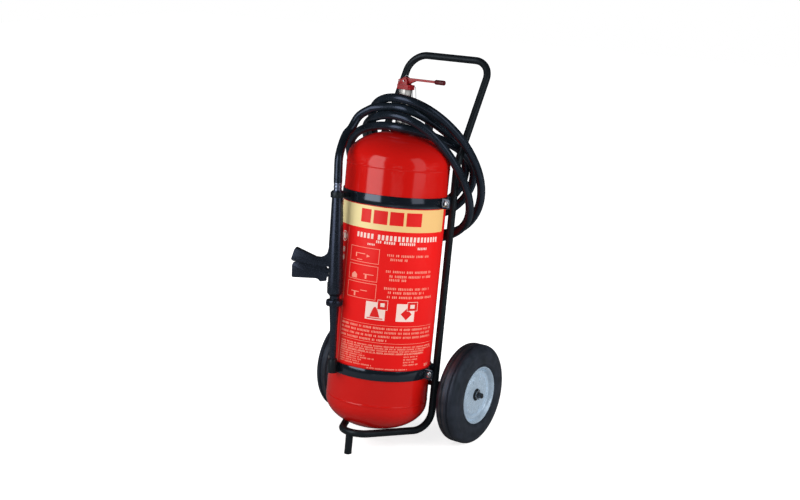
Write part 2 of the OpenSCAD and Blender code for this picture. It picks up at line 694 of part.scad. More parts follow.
module grip_outline() polygon([
    [0, 166], [18, 160], [20.5, 150], [23, 139], [27, 131], [34, 125], [43, 121.5], [56, 123], [106, 145],
    [112, 148], [117, 146.5], [119.5, 143], [128.3, 115], [122, 110], [60, 101], [30, 97], [0, 97]
]);
module grip_hollow() polygon([
    [10.5, 50], [10.5, 104], [30, 109], [56, 112], [104, 136], [114, 141], [124, 112], [124.5, 104],
    [140, 104], [140, 50]
]);
module trigger_outline() {
    polygon([
        [pivot_d, pivot_s - 7], [24.8, 61], [24.8, 54.5], [43, 52], [48, 58], [55, 61], [122, 61.5],
        [125.4, 64], [125.4, 96], [123, 103], [112, 108], [100, 112], [56, 103], [30, 97],
        [pivot_d, pivot_s + 7]
    ]);
    translate([pivot_d, pivot_s]) circle(r = 7, $fn = small_fn);
}

module pistol_body() color("dimgray") difference() {
    union() {
        lance() {
            cylinder(r = 14.5, h = 10, $fn = round_fn);
            translate([0, 0, 10]) cylinder(r1 = 14.5, r2 = barrel_r, h = 9, $fn = round_fn);
            translate([0, 0, 19]) cylinder(r = barrel_r, h = 36, $fn = round_fn);
            translate([0, 0, 55]) cylinder(r1 = barrel_r, r2 = barrel_r - 1.5, h = 106, $fn = round_fn);
            translate([0, 0, 161])
                cylinder(r1 = barrel_r - 1.5, r2 = 16, h = barrel_len - 161, $fn = round_fn);
        }
        grip_plane() translate([0, 0, -grip_w / 2]) linear_extrude(grip_w) grip_outline();
    }
    lance() translate([0, 0, -1]) cylinder(r = lance_bore, h = barrel_len + 2, $fn = small_fn);
    grip_plane() translate([0, 0, -slot_w / 2]) linear_extrude(slot_w) grip_hollow();
    grip_plane() translate([pivot_d, pivot_s, -2 * pin_half])
        cylinder(r = trigger_pin_r + pin_gap, h = 4 * pin_half, $fn = small_fn);
}
module trigger_lever() color("black") grip_plane() difference() {
    translate([0, 0, -trigger_w / 2]) linear_extrude(trigger_w) trigger_outline();
    translate([pivot_d, pivot_s, -2 * pin_half])
        cylinder(r = trigger_pin_r + pin_gap, h = 4 * pin_half, $fn = small_fn);
}
pin_half = sqrt(barrel_r * barrel_r - pivot_d * pivot_d) + 1;
module trigger_pin() color("silver") grip_plane() translate([pivot_d, pivot_s, -pin_half])
    cylinder(r = trigger_pin_r, h = 2 * pin_half, $fn = small_fn);

module lance_collar() color("black") lance() translate([0, 0, barrel_len])
    ring(collar_r, lance_bore, collar_h);
module ferrule_lance() color("silver") lance() translate([0, 0, barrel_len + collar_h])
    ring(hose_d / 2 - 0.5, lance_bore, ferrule_h);

knurl_count = 24;
module coupling_ring() color("black") lance() translate([0, 0, -ring_h]) difference() {
    union() {
        cylinder(r1 = ring_r - 2, r2 = ring_r, h = 2, $fn = round_fn);
        translate([0, 0, 2]) cylinder(r = ring_r, h = ring_h - 4, $fn = round_fn);
        translate([0, 0, ring_h - 2]) cylinder(r1 = ring_r, r2 = ring_r - 2, h = 2, $fn = round_fn);
    }
    translate([0, 0, -1]) cylinder(r = lance_bore, h = ring_h + 2, $fn = small_fn);
    for (i = [0:knurl_count - 1]) rotate([0, 0, 360 * i / knurl_count]) translate([ring_r + 0.6, 0, 3])
        cylinder(r = 1.4, h = ring_h - 6, $fn = 16);
}
nozzle_mid = 52;
nozzle_tip_r = 9.5;
module nozzle_tube() color("black") lance() translate([0, 0, -ring_h - nozzle_len]) difference() {
    union() {
        cylinder(r1 = nozzle_tip_r, r2 = 11.4, h = nozzle_len - nozzle_mid, $fn = round_fn);
        translate([0, 0, nozzle_len - nozzle_mid])
            cylinder(r1 = 11.4, r2 = 14.5, h = nozzle_mid, $fn = round_fn);
    }
    translate([0, 0, -1]) cylinder(r = lance_bore - 1.5, h = nozzle_len + 2, $fn = small_fn);
}

// Both holders stand on the straps and are cut to fit them
module off_strap() difference() {
    children();
    leaned() cylinder(r = strap_out + pin_gap, h = tank_high, $fn = round_fn);
}
module to_tank() rotate([0, 0, atan2(lance_front, -lance_x)]) children();
clip_h = 16;
clip_s = strap_high - lance_up;
clip_r = 17.8;
module lance_clip() color("black") off_strap() lance() translate([0, 0, clip_s - clip_h / 2]) {
    ring(clip_r + 2.5, clip_r, clip_h);
    to_tank() translate([clip_r + 1, -6, 1]) cube([26, 12, clip_h - 2]);
}
holder_h = strap_w;
holder_s = (strap_low - lance_up) / cos(lance_side_lean);
holder_in = nozzle_tip_r + seat_gap + 0.3;
module nozzle_holder() color("black") off_strap() lance() translate([0, 0, holder_s - holder_h / 2]) {
    difference() {
        union() {
            cylinder(r = holder_in + 3, h = holder_h + 10, $fn = small_fn);
            to_tank() translate([0, -5, 0]) cube([24, 10, holder_h]);
        }
        translate([0, 0, 3]) cylinder(r = holder_in, h = holder_h + 20, $fn = small_fn);
    }
}

// ---- hose ----

// The hose makes its loops round the neck and both legs, from the back to the front and round again.
// Each list gives one value for each pass at the front, at the back or beside the tank.
front_up = [950.7, 868, 900, 923.4];
front_n = [-38.4, -48.3, -51, -36.2];
back_n = [243.6, 192.2, 192.7, 180.2];
back_up = [536.9, 599.1, 526.6, 627.1];
side_reach = [181.6, 193.2, 127.1, 192.3, 181.2, 187.2, 100.1, 189.5];
side_n = [62.5, 82.3, 132.7, -42.4, 39.1, 53.9, 129.7, -137.6];
side_up = [-6.2, 19.4, 32, 45.2, -34.5, 21.5, 11.7, 44.8];
coil_start = -205;
coil_end = 1110;
coil_step = 10;
loop_x = 1;

// A smooth value between list entries that lie pitch degrees apart from first
function ease(f) = f * f * (3 - 2 * f);
function along(list, t, first, pitch) =
    let (k = max(0, min((t - first) / pitch, len(list) - 1.0001)), i = floor(k), f = ease(k - i))
    list[i] * (1 - f) + list[i + 1] * f;
function coil_point(t) =
    let (front = (1 + cos(t)) / 2, back = (1 - cos(t)) / 2, side = sin(t) * sin(t))
    [
        loop_x - along(side_reach, t, -90, 180) * sin(t),
        along(front_n, t, 0, 360) * front + along(back_n, t, -180, 360) * back
            + along(side_n, t, -90, 180) * side,
        along(front_up, t, 0, 360) * front + along(back_up, t, -180, 360) * back
            + along(side_up, t, -90, 180) * side
    ];
coil_turns = (coil_end - coil_start) / coil_step;
coil_path = [for (i = [0:floor(coil_turns)]) coil_point(coil_start + i * coil_step), coil_point(coil_end)];

// Route of the hose from the valve's ferrule to the loops, and from the loops to the lance
tail_points = [
    [0, 105, 914], [-10, 150, 895], [-30, 195, 850], [-55, 225, 790], [-80, 241, 720], [-100, 244, 650],
    [-103, 236, 598]
];
lead_points = [[-116.5, -54.8, 886.4], [-126.3, -75.1, 849.2], [-125, -103.8, 826.3], [-95.9, -164.6, 775.6]];

function lance_point(s) = [
    lance_x + s * sin(lance_side_lean) * cos(lance_out_lean),
    -lance_front - s * sin(lance_out_lean),
    lance_up + s * cos(lance_side_lean) * cos(lance_out_lean)
];
lance_end = lance_point(barrel_len + collar_h + ferrule_h);
lance_next = lance_point(barrel_len + collar_h + ferrule_h + hose_d);
tail_path = concat([[0, ferrule_end, outlet_up], [0, ferrule_end + hose_d, outlet_up]], tail_points,
    [coil_path[0]]);
lead_path = concat([coil_path[len(coil_path) - 1]], lead_points, [lance_next, lance_end]);

function unit(v) = v / norm(v);
function spline(a, b, c, d, t) = 0.5 * (2 * b + (c - a) * t + (2 * a - 5 * b + 4 * c - d) * t * t
    + (3 * b - a - 3 * c + d) * t * t * t);
// A smooth line through the points, with count steps between neighbours
function smooth(p, before, after, count) =
    let (q = concat([before], p, [after]))
    [for (i = [1:len(q) - 3], j = [0:count - 1]) spline(q[i - 1], q[i], q[i + 1], q[i + 2], j / count),
        p[len(p) - 1]];

hose_ref = [0, 0.81, 0.59];
function direction(p, i, first, last) =
    i == 0 ? first : i == len(p) - 1 ? last : unit(p[i + 1] - p[i - 1]);
// A closed tube along the points with sides faces, its ends square to the given directions
module sweep(p, sides, first, last) {
    r = hose_d / 2;
    points = [for (i = [0:len(p) - 1]) let (
        t = direction(p, i, first, last),
        side = unit(cross(t, hose_ref)),
        up = cross(side, t)
    ) for (k = [0:sides - 1]) p[i] + r * (side * cos(360 * k / sides) + up * sin(360 * k / sides))];
    last_ring = (len(p) - 1) * sides;
    faces = concat(
        [for (i = [0:len(p) - 2], k = [0:sides - 1]) let (a = i * sides + k, b = i * sides + (k + 1) % sides)
            [a, b, b + sides]],
        [for (i = [0:len(p) - 2], k = [0:sides - 1]) let (a = i * sides + k, b = i * sides + (k + 1) % sides)
            [a, b + sides, a + sides]],
        [for (k = [1:sides - 2]) [0, k + 1, k]],
        [for (k = [1:sides - 2]) [last_ring, last_ring + k, last_ring + k + 1]]
    );
    polyhedron(points = points, faces = faces);
}

start_dir = unit(coil_point(coil_start + 1) - coil_point(coil_start - 1));
end_dir = unit(coil_point(coil_end + 1) - coil_point(coil_end - 1));
lance_dir = unit(lance_end - lance_next);
module hose_coil() color("black") leaned() sweep(coil_path, 6, start_dir, end_dir);
module hose_tail() color("black") leaned()
    sweep(smooth(tail_path, [0, 0, outlet_up], coil_path[1], 2), 8, [0, 1, 0], start_dir);
module hose_lead() color("black") leaned()
    sweep(smooth(lead_path, coil_path[len(coil_path) - 2], lance_end + 60 * lance_dir, 2), 8,
        end_dir, lance_dir);

// Least gap between two turns of the coil, measured on the quarter points of its straight pieces
fine = [for (i = [0:len(coil_path) - 2], k = [0:3]) coil_path[i] * (1 - k / 4) + coil_path[i + 1] * k / 4];
apart = 4 * ceil(90 / coil_step);
gaps = [for (i = [0:len(fine) - 1], j = [0:len(fine) - 1]) if (j >= i + apart) norm(fine[i] - fine[j])];
echo(least_hose_gap = min(gaps) - hose_d);

tank_shell();
neck_boss();
relief_plug();
siphon_tube();
siphon_strainer();
label_sheet();
front_strap_low();
front_strap_high();
rear_strap_low();
rear_strap_high();
strap_bolts();
strap_nuts();
leg_left();
leg_right();
handle_bow();
base_arm_left();
base_arm_right();
foot_peg();
axle_bracket_left();
axle_bracket_right();
axle_rod();
axle_spacers();
axle_washers();
split_pins();
tyre_left();
rim_left();
hub_left();
tyre_right();
rim_right();
hub_right();
valve_body();
bonnet_nut();
valve_head();
valve_spindle();
lever_pin();
lever_arm();
lever_grip();
safety_pin();
pin_ring();
tether_loop();
outlet_nut();
ferrule_valve();
hose_tail();
hose_coil();
hose_lead();
ferrule_lance();
lance_collar();
pistol_body();
trigger_lever();
trigger_pin();
coupling_ring();
nozzle_tube();
lance_clip();
nozzle_holder();
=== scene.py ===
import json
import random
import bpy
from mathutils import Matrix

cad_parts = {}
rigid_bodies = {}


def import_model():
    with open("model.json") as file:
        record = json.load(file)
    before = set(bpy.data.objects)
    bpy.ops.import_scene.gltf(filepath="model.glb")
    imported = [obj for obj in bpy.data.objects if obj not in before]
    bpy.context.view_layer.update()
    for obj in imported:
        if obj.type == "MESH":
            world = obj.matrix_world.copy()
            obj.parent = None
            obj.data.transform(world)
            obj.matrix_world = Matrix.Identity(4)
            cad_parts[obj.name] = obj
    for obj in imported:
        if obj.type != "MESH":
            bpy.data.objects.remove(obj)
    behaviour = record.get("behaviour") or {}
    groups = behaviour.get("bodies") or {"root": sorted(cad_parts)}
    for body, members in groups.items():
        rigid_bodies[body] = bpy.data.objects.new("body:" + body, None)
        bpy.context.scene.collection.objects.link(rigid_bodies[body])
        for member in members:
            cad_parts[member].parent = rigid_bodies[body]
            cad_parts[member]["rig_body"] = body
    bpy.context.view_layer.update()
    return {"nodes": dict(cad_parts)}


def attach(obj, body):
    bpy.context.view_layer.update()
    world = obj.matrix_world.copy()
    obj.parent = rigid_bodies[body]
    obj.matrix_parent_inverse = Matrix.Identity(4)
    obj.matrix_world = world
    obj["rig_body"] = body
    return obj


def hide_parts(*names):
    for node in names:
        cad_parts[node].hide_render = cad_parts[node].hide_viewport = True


bl_info = {
    "name": "Wheeled Fire Extinguisher",
    "version": (1, 0, 0),
    "blender": (4, 5, 0),
    "location": "View3D > Sidebar > Extinguisher",
    "description": "Dresses the CAD frame of a wheeled fire extinguisher with its surfaces, print and hose",
    "category": "Object",
}

from math import acos, asin, ceil, cos, degrees, floor, hypot, pi, radians, sin, sqrt, tan

import bmesh
import bpy
from mathutils import Matrix, Vector

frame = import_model()
NODES = frame["nodes"]

MM = 0.001

# The camera's focal length and picture width in pixels, its place and its axes
FOCAL_LENGTH, IMAGE_WIDTH = 1321.75, 800
CAMERA_PLACE, CAMERA_AHEAD, CAMERA_RIGHT = (
    Vector(v) for v in ((2.1366, -3.16315, 1.5426), (-0.53996, 0.80536, -0.24463), (0.82505, 0.56395, 0.03553))
)

# The tank and its frame lean back by this angle, round an origin in front of the axle
LEAN = radians(6)
LEANED = Matrix.Translation((0, -0.080, 0.0857)) @ Matrix.Rotation(-LEAN, 4, "X")

# Sizes of the CAD model, in millimetres
TANK_R, TANK_LOW, TANK_LEN, DOME_H, DOME_FLANGE, TANK_WALL = 152, 61, 695, 98, 10, 3
TANK_HIGH = TANK_LOW + TANK_LEN
TANK_TOP = TANK_HIGH + DOME_H
DOME_LOW, DOME_HIGH, DOME_RISE = TANK_LOW - DOME_FLANGE, TANK_HIGH + DOME_FLANGE, DOME_H - DOME_FLANGE
BOSS_R, BOSS_H, BOSS_IN = 27.5, 19, 14
LABEL_LOW, LABEL_HIGH, LABEL_OUT = 174, 645, 152.5
LABEL_FIRST, LABEL_LAST = -45, 113
STRAP_LOW, STRAP_HIGH, BOLT_X, WASHER_FROM = 156, 663, 169.3, 7.6
TUBE_R, LEG_X, LEG_BACK, LEG_BEND = 11, 142.7, 93.5, 60
BOW_START, BOW_LEAN, BOW_LEN, BOW_CORNER = 772, 25, 335, 57
ARM_SPLAY, APEX_R, SEAT_GAP = 27, 52, 0.3
AXLE_Y, AXLE_Z, AXLE_R = 100, 152, 8
WHEEL_X, TYRE_R, TYRE_W, RIM_R, HUB_R = 222, 152, 72, 88, 18.5
OUTLET_UP, FERRULE_END, HOSE_D = 915, 70, 25
LANCE_X, LANCE_FRONT, LANCE_UP = -68.3, -165, 357.7
LANCE_SIDE_LEAN, LANCE_OUT_LEAN = -3.3, 1
BARREL_LEN, COLLAR_H, FERRULE_H, RING_H, RING_R = 301, 16, 23, 19, 25
LANCE_END = BARREL_LEN + COLLAR_H + FERRULE_H


def leaned(x, n, u):
    """A point of the leaned frame, in millimetres, as a place in metres."""
    return LEANED @ (Vector((x, n, u)) * MM)


LANCE = (
    LEANED @ Matrix.Translation(Vector((LANCE_X, LANCE_FRONT, LANCE_UP)) * MM)
    @ Matrix.Rotation(radians(LANCE_SIDE_LEAN), 4, "Y") @ Matrix.Rotation(radians(LANCE_OUT_LEAN), 4, "X")
)


# ---- user settings ----


def length_setting(name, what, value, low, high):
    return bpy.props.FloatProperty(name=name, description=what, default=value, min=low, max=high, unit="LENGTH")


def count_setting(name, what, value, low, high):
    return bpy.props.IntProperty(name=name, description=what, default=value, min=low, max=high)


def colour_setting(name, what, value):
    return bpy.props.FloatVectorProperty(
        name=name, description=what, subtype="COLOR", size=3, min=0, max=1, default=linear(value)[:3]
    )


def linear(value):
    """An sRGB hex colour, or a setting's colour that is linear already, as linear RGBA."""
    if not isinstance(value, str):
        return (*value[:3], 1.0)
    parts = [int(value[i : i + 2], 16) / 255 for i in (1, 3, 5)]
    return tuple(c / 12.92 if c <= 0.04045 else ((c + 0.055) / 1.055) ** 2.4 for c in parts) + (1.0,)


class ExtinguisherSizes(bpy.types.PropertyGroup):
    hose_diameter: length_setting("Hose Diameter", "Outer diameter of the hose", HOSE_D * MM, 0.02, 0.026)
    seam_height: length_setting("Seam Height", "Height of the tank's weld seams", 0.0008, 0.0002, 0.0008)
    print_height: length_setting("Print Height", "Thickness of the ink layers", 0.00005, 0.00003, 0.0001)
    knurl_count: count_setting("Knurl Count", "Number of ridges round the lance's coupling ring", 36, 12, 60)
    rim_marks: count_setting("Rim Marks", "Number of pressed marks round each rim", 8, 3, 16)


class ExtinguisherColours(bpy.types.PropertyGroup):
    enamel: colour_setting("Tank Enamel", "Colour of the tank's gloss enamel", "#C4140F")
    film: colour_setting("Label Film", "Ground colour of the label", "#E31A19")
    band: colour_setting("Label Band", "Colour of the pale band on the label", "#F0E2AE")
    coat: colour_setting("Frame Coat", "Colour of the frame's powder coat", "#14181B")
    rim: colour_setting("Rim Enamel", "Colour of the wheel rims", "#C6DCF0")


# ---- materials ----

# Every finish by its plain name, made in main
FINISH = {}


def feed(tree, node, inputs):
    """Links or sets the node's inputs, given by name or in their order. A node stands for its first output."""
    for key, value in inputs.items() if isinstance(inputs, dict) else enumerate(inputs):
        if isinstance(value, bpy.types.Node):
            value = next(socket for socket in value.outputs if socket.enabled)
        if isinstance(value, bpy.types.NodeSocket):
            tree.links.new(value, node.inputs[key])
        else:
            node.inputs[key].default_value = value


def add(tree, kind, inputs=(), **settings):
    """A node of this kind with its settings, its inputs set or linked."""
    node = tree.nodes.new(kind)
    for key, value in settings.items():
        setattr(node, key, value)
    feed(tree, node, inputs)
    return node


def cloud(tree, coords, size, detail=4.0, rough=0.5, low=0, high=1):
    """A number that wanders between low and high over lumps of this size, in millimetres."""
    given = {"Vector": coords, "Scale": 1 / (size * MM), "Detail": detail, "Roughness": rough}
    noise = add(tree, "ShaderNodeTexNoise", given)
    spread = {"Value": noise, "From Min": 0.3, "From Max": 0.7, "To Min": low, "To Max": high}
    return add(tree, "ShaderNodeMapRange", spread)


def surface(name, first, second, patch, rough, grain, more):
    """A material whose colour wanders between two. patch holds cloud's numbers for that, and rough those for
    the roughness, or one plain number. grain is the relief's size in millimetres, its depth in micrometres
    and its detail. more holds the shader's other inputs."""
    material = bpy.data.materials.new(name)
    material.use_nodes = True
    tree = material.node_tree
    shader = tree.nodes["Principled BSDF"]
    coords = add(tree, "ShaderNodeTexCoord").outputs["Object"]
    mixed = {"Factor": cloud(tree, coords, *patch), "A": first, "B": second}
    colour = add(tree, "ShaderNodeMix", mixed, data_type="RGBA")
    size, depth, detail = grain
    noise = add(tree, "ShaderNodeTexNoise", {"Vector": coords, "Scale": 1 / (size * MM), "Detail": detail})
    relief = add(tree, "ShaderNodeBump", {"Height": noise, "Distance": depth * 1e-6, "Strength": 1.0})
    roughness = cloud(tree, coords, *rough) if isinstance(rough, tuple) else rough
    feed(tree, shader, {"Base Color": colour, "Roughness": roughness, "Normal": relief, **more})
    return material, tree, shader, coords, colour


def scaled(colour, factor):
    return tuple(min(1.0, c * factor) for c in linear(colour)[:3]) + (1.0,)


def painted(name, colour, rough, grain, depth, coat=0.0, drift=0.1, blotch=120, gloss=(1, 1, 1, 1), shine=0.5):
    """Paint: a colour that drifts a little over the piece in blotches, and the relief that its process leaves.
    gloss tints the shine, and shine is its level."""
    return surface(
        name, scaled(colour, 1 - drift), scaled(colour, 1 + drift), (blotch,),
        (blotch / 5, 5.0, 0.65, rough * 0.85, rough * 1.2), (grain, depth, 2.0),
        {"Coat Weight": coat, "Coat Roughness": 0.06, "Specular Tint": gloss, "Specular IOR Level": shine},
    )[0]


def metal(name, colour, rough, grain, depth, metallic=1.0):
    """Bare, plated or flaked metal: clouds of 12 mm, duller where they are darker."""
    patch = (12, 4.0, 0.6)
    return surface(
        name, scaled(colour, 0.86), scaled(colour, 1.08), patch, (*patch, rough * 1.25, rough * 0.8),
        (grain, depth, 3.0), {"Metallic": metallic},
    )[0]


def make_materials(colours):
    """Every finish, by its plain name. Grains are in millimetres and their depths in micrometres."""
    blue, bluer, pink = (0.72, 0.86, 1.0, 1), (0.6, 0.75, 1.0, 1), (1.0, 0.9, 0.85, 1)
    return {
        # Sprayed gloss enamel: sharp highlights with a slight orange peel, 4 mm waves
        "enamel": painted("gloss_enamel_red", colours.enamel, 0.13, 4, 8, 0, 0.04, 200),
        # Red enamel on the brass head and lever: thinner, so it is duller and chips look darker
        "head_enamel": painted("sprayed_enamel_red", "#8C151C", 0.34, 1.5, 3, 0.05, 0.2, 12),
        # Baked powder coat: satin, with a fine pebbled skin of 1.2 mm
        "coat": painted("powder_coat_black", colours.coat, 0.4, 1.2, 10, 0, 0.25, 50, blue),
        # Gloss black enamel of the straps, with a clear coat: crisp bluish highlights
        "strap": painted("gloss_enamel_black", "#10161C", 0.14, 3, 5, 0.5, 0.15, 50, bluer, 1.0),
        # Flat calendered film: smoother and brighter than the enamel beside it
        "film": painted("printed_vinyl_film_red", colours.film, 0.36, 20, 40, 0, 0.04, 250, pink, 0.25),
        "band": band_ink(linear(colours.band)),
        # Screen-printed inks: even, a little duller than the film
        "ink_white": painted("screen_ink_white", "#F1D6CC", 0.45, 3, 10, 0, 0.03),
        "ink_tint": painted("screen_ink_tint", "#F09A86", 0.45, 3, 10, 0, 0.04),
        "ink_red": painted("screen_ink_red", "#DA1B18", 0.42, 3, 10, 0, 0.04),
        # Zinc-plated steel: bright, with clouded spangle
        "zinc": metal("zinc_plated_steel", "#C9CDD2", 0.26, 0.8, 10),
        # Nickel-plated brass, turned
        "nickel": metal("nickel_plated_brass", "#BCBCBA", 0.3, 0.6, 4),
        # Blue-passivated zinc of the crimped ferrules
        "ferrule": metal("blue_zinc_plated_steel", "#98A6C0", 0.36, 0.8, 10),
        # Stainless wire rope of the tether, dark between its strands
        "wire": metal("stainless_wire_rope", "#4A4B50", 0.4, 0.4, 8),
        # Aluminium flake enamel on pressed steel
        "rim": metal("silver_enamel", colours.rim, 0.3, 0.7, 10, 0.5),
        # Turned steel, darkened by oil
        "axle": metal("oiled_turned_steel", "#55585C", 0.34, 0.5, 10),
        "tyre": tyre_rubber(),
        "hose": hose_rubber(),
        # Glass-filled nylon of the lance: satin, spark-eroded mould texture of 0.8 mm
        "nylon": painted("moulded_nylon_black", "#14181D", 0.28, 0.8, 6, 0, 0.2, 30, (0.52, 0.64, 1.0, 1), 1.0),
        # Dipped vinyl sleeve of the lever: soft satin, slightly pebbled
        "grip": painted("dipped_vinyl_dark_red", "#4A1218", 0.4, 1.2, 30, 0, 0.2, 10),
        # Natural polypropylene of the siphon tube
        "polypropylene": painted("polypropylene_natural", "#D9D8D2", 0.45, 2, 10, 0, 0.04),
    }


def band_ink(cream):
    """Photoluminescent band: pale cream that deepens a little towards the right, along the object's X."""
    material, tree, shader, coords, fleck = surface(
        "luminous_ink_cream", cream, linear("#C9B878"), (2.5, 3.0, 0.5, 0, 0.12), 0.45, (2.5, 10, 3.0), {}
    )
    across = add(tree, "ShaderNodeSeparateXYZ", [coords]).outputs["X"]
    place = add(tree, "ShaderNodeMapRange", {"Value": across, "From Min": -0.02, "From Max": 0.15})
    deepened = {"Factor": place, "A": cream, "B": linear("#EFC585")}
    deep = add(tree, "ShaderNodeMix", deepened, data_type="RGBA")
    mixed = {"Factor": 0.25, "A": deep, "B": fleck}
    both = add(tree, "ShaderNodeMix", mixed, data_type="RGBA", blend_type="MULTIPLY")
    feed(tree, shader, {"Base Color": both})
    return material


def hose_rubber():
    """Smooth extruded rubber: satin bluish sheen, faint cloth marks and a dusty bloom."""
    return surface(
        "extruded_rubber_black", linear("#0D1216"), linear("#182028"), (50, 4.0, 0.6), (10, 4.0, 0.5, 0.2, 0.3),
        (2.2, 10, 3.0), {"Specular Tint": (0.55, 0.68, 1.0, 1), "Specular IOR Level": 0.8},
    )[0]


def tyre_rubber():
    """Vulcanised rubber: matt, with a bluish bloom in broad patches, and painted highlights: brown lines round
    the tread where its ridges catch the light.
    """
    material, tree, shader, coords, ground = surface(
        "vulcanised_rubber", linear("#171B1F"), linear("#262A33"), (30, 4.0, 0.6), (20, 4.0, 0.5, 0.4, 0.52),
        (0.8, 20, 2.0), {"Specular Tint": (0.6, 0.75, 1.0, 1), "Specular IOR Level": 0.8},
    )
    across = add(tree, "ShaderNodeSeparateXYZ", [coords]).outputs["X"]
    side = add(tree, "ShaderNodeMath", [across], operation="ABSOLUTE")
    # Painted highlights: thin brown lines round the tread, where the ridges by its grooves catch the light
    lines = 0.0
    for place in (-14.6, -11.4, -3.4, -0.4):
        off = add(tree, "ShaderNodeMath", [side, (WHEEL_X + place) * MM], operation="SUBTRACT")
        far = add(tree, "ShaderNodeMath", [off], operation="ABSOLUTE")
        faded = {"Value": far, "From Min": 0.0002, "From Max": 0.0008, "To Min": 0.6, "To Max": 0.0}
        line = add(tree, "ShaderNodeMapRange", faded)
        lines = add(tree, "ShaderNodeMath", [lines, line], operation="MAXIMUM")
    bloom = ground.inputs["Factor"].links[0].from_socket
    # The painted highlight lines fade with the bloom's patches and take a brown colour
    painted_highlight_lines = add(tree, "ShaderNodeMath", [lines, bloom], operation="MULTIPLY")
    mixed = {"Factor": painted_highlight_lines, "A": ground, "B": linear("#6E5B4C")}
    feed(tree, shader, {"Base Color": add(tree, "ShaderNodeMix", mixed, data_type="RGBA")})
    return material


# ---- meshes ----


def link(name, mesh):
    piece = bpy.data.objects.new(name, mesh)
    bpy.context.scene.collection.objects.link(piece)
    return piece


def link_bmesh(name, bm):
    mesh = bpy.data.meshes.new(name)
    bm.to_mesh(mesh)
    bm.free()
    return link(name, mesh)


def finish_piece(piece, finish, *nodes, angle=35):
    """Smooth shading, one material, the CAD nodes that it stands for, and their body."""
    mesh = piece.data
    mesh.polygons.foreach_set("use_smooth", [True] * len(mesh.polygons))
    mesh.set_sharp_from_angle(angle=radians(angle))
    mesh.materials.clear()
    mesh.materials.append(FINISH[finish])
    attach(piece, NODES[nodes[0]]["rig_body"] if nodes else "trolley")
    if nodes:
        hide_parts(*nodes)
    return piece


def from_bmesh(name, bm, matrix=Matrix()):
    """A piece from a bmesh, its doubles merged and its faces turned outwards."""
    bmesh.ops.remove_doubles(bm, verts=bm.verts, dist=1e-6)
    bmesh.ops.dissolve_degenerate(bm, edges=bm.edges, dist=1e-7)
    bmesh.ops.recalc_face_normals(bm, faces=bm.faces)
    bm.transform(matrix)
    return link_bmesh(name, bm)


def merged(name, pieces, matrix=Matrix()):
    """One piece in the place of several."""
    bm = bmesh.new()
    for piece in pieces:
        bm.from_mesh(piece.data)
        bpy.data.objects.remove(piece)
    return from_bmesh(name, bm, matrix)


def lathe(name, profile, segments, matrix=Matrix(), first=0.0, turn=360.0):
    """Revolves a closed loop of [radius, height] in millimetres round Z, or part of the way round."""
    bm = bmesh.new()
    full = turn == 360
    count = segments if full else segments + 1
    angles = [radians(first + turn * i / segments) for i in range(count)]
    rings = [[bm.verts.new(Vector((r * cos(a), r * sin(a), z)) * MM) for r, z in profile] for a in angles]
    for i in range(segments):
        a, b = rings[i], rings[(i + 1) % count]
        for k in range(len(profile)):
            m = (k + 1) % len(profile)
            # A point on the axis gives its two faces one corner less
            corners = [b[j] for j in (m, k) if profile[j][0] >= 1e-6]
            if corners:
                bm.faces.new([a[k], a[m]] + corners)
    if not full:
        bm.faces.new(rings[0])
        bm.faces.new(rings[-1][::-1])
    return from_bmesh(name, bm, matrix)


def turned(name, node, finish, profile, segments, matrix, angle=35):
    """A lathed piece that stands for a CAD node and rides on its body."""
    piece = lathe(name, profile, segments, matrix)
    finish_piece(piece, finish, node, angle=angle)


def pillow(name, sides, rings, size, spread, up):
    """A ball stretched to size and parted along X, with its middle at height up, in millimetres."""
    bm = bmesh.new()
    bmesh.ops.create_uvsphere(bm, u_segments=sides, v_segments=rings, radius=1)
    for v in bm.verts:
        x, y, z = (a * b for a, b in zip(v.co, size))
        v.co = Vector((x + spread if x > 0 else x - spread, y, z + up)) * MM
    return from_bmesh(name, bm)


def rounded(points, radius, steps=3):
    """The loop of points with its corners rounded, as far as its sides allow."""
    out, n = [], len(points)
    for i, p in enumerate(map(Vector, points)):
        to_a, to_b = (Vector(points[j % n]) - p for j in (i - 1, i + 1))
        cut = min(radius, to_a.length * 0.45, to_b.length * 0.45)
        if cut < 1e-3 or p.x < 1e-6 or to_a.normalized().dot(to_b.normalized()) < -0.999:
            out.append(tuple(p))
            continue
        start, end = p + to_a.normalized() * cut, p + to_b.normalized() * cut
        for k in range(steps + 1):
            t = k / steps
            out.append(tuple(start * (1 - t) ** 2 + p * 2 * t * (1 - t) + end * t * t))
    return out


def plain(piece):
    """The evaluated piece as a plain mesh."""
    graph = bpy.context.evaluated_depsgraph_get()
    return bpy.data.meshes.new_from_object(piece.evaluated_get(graph), depsgraph=graph)


def softened(name, node, finish, width, segments=2):
    """A copy of a CAD node with its edges broken by a small bevel. It stands for the node."""
    bm = bmesh.new()
    bm.from_mesh(NODES[node].data)
    bmesh.ops.remove_doubles(bm, verts=bm.verts, dist=2e-6)
    bmesh.ops.dissolve_limit(bm, angle_limit=radians(1.0), verts=bm.verts, edges=bm.edges)
    piece = link_bmesh(name, bm)
    bevel = piece.modifiers.new("edge", "BEVEL")
    bevel.width, bevel.segments = width * MM, segments
    bevel.limit_method, bevel.angle_limit = "ANGLE", radians(35)
    piece.data = plain(piece)
    piece.modifiers.clear()
    return finish_piece(piece, finish, node, angle=40)


# ---- geometry node trees ----

TREES = {}


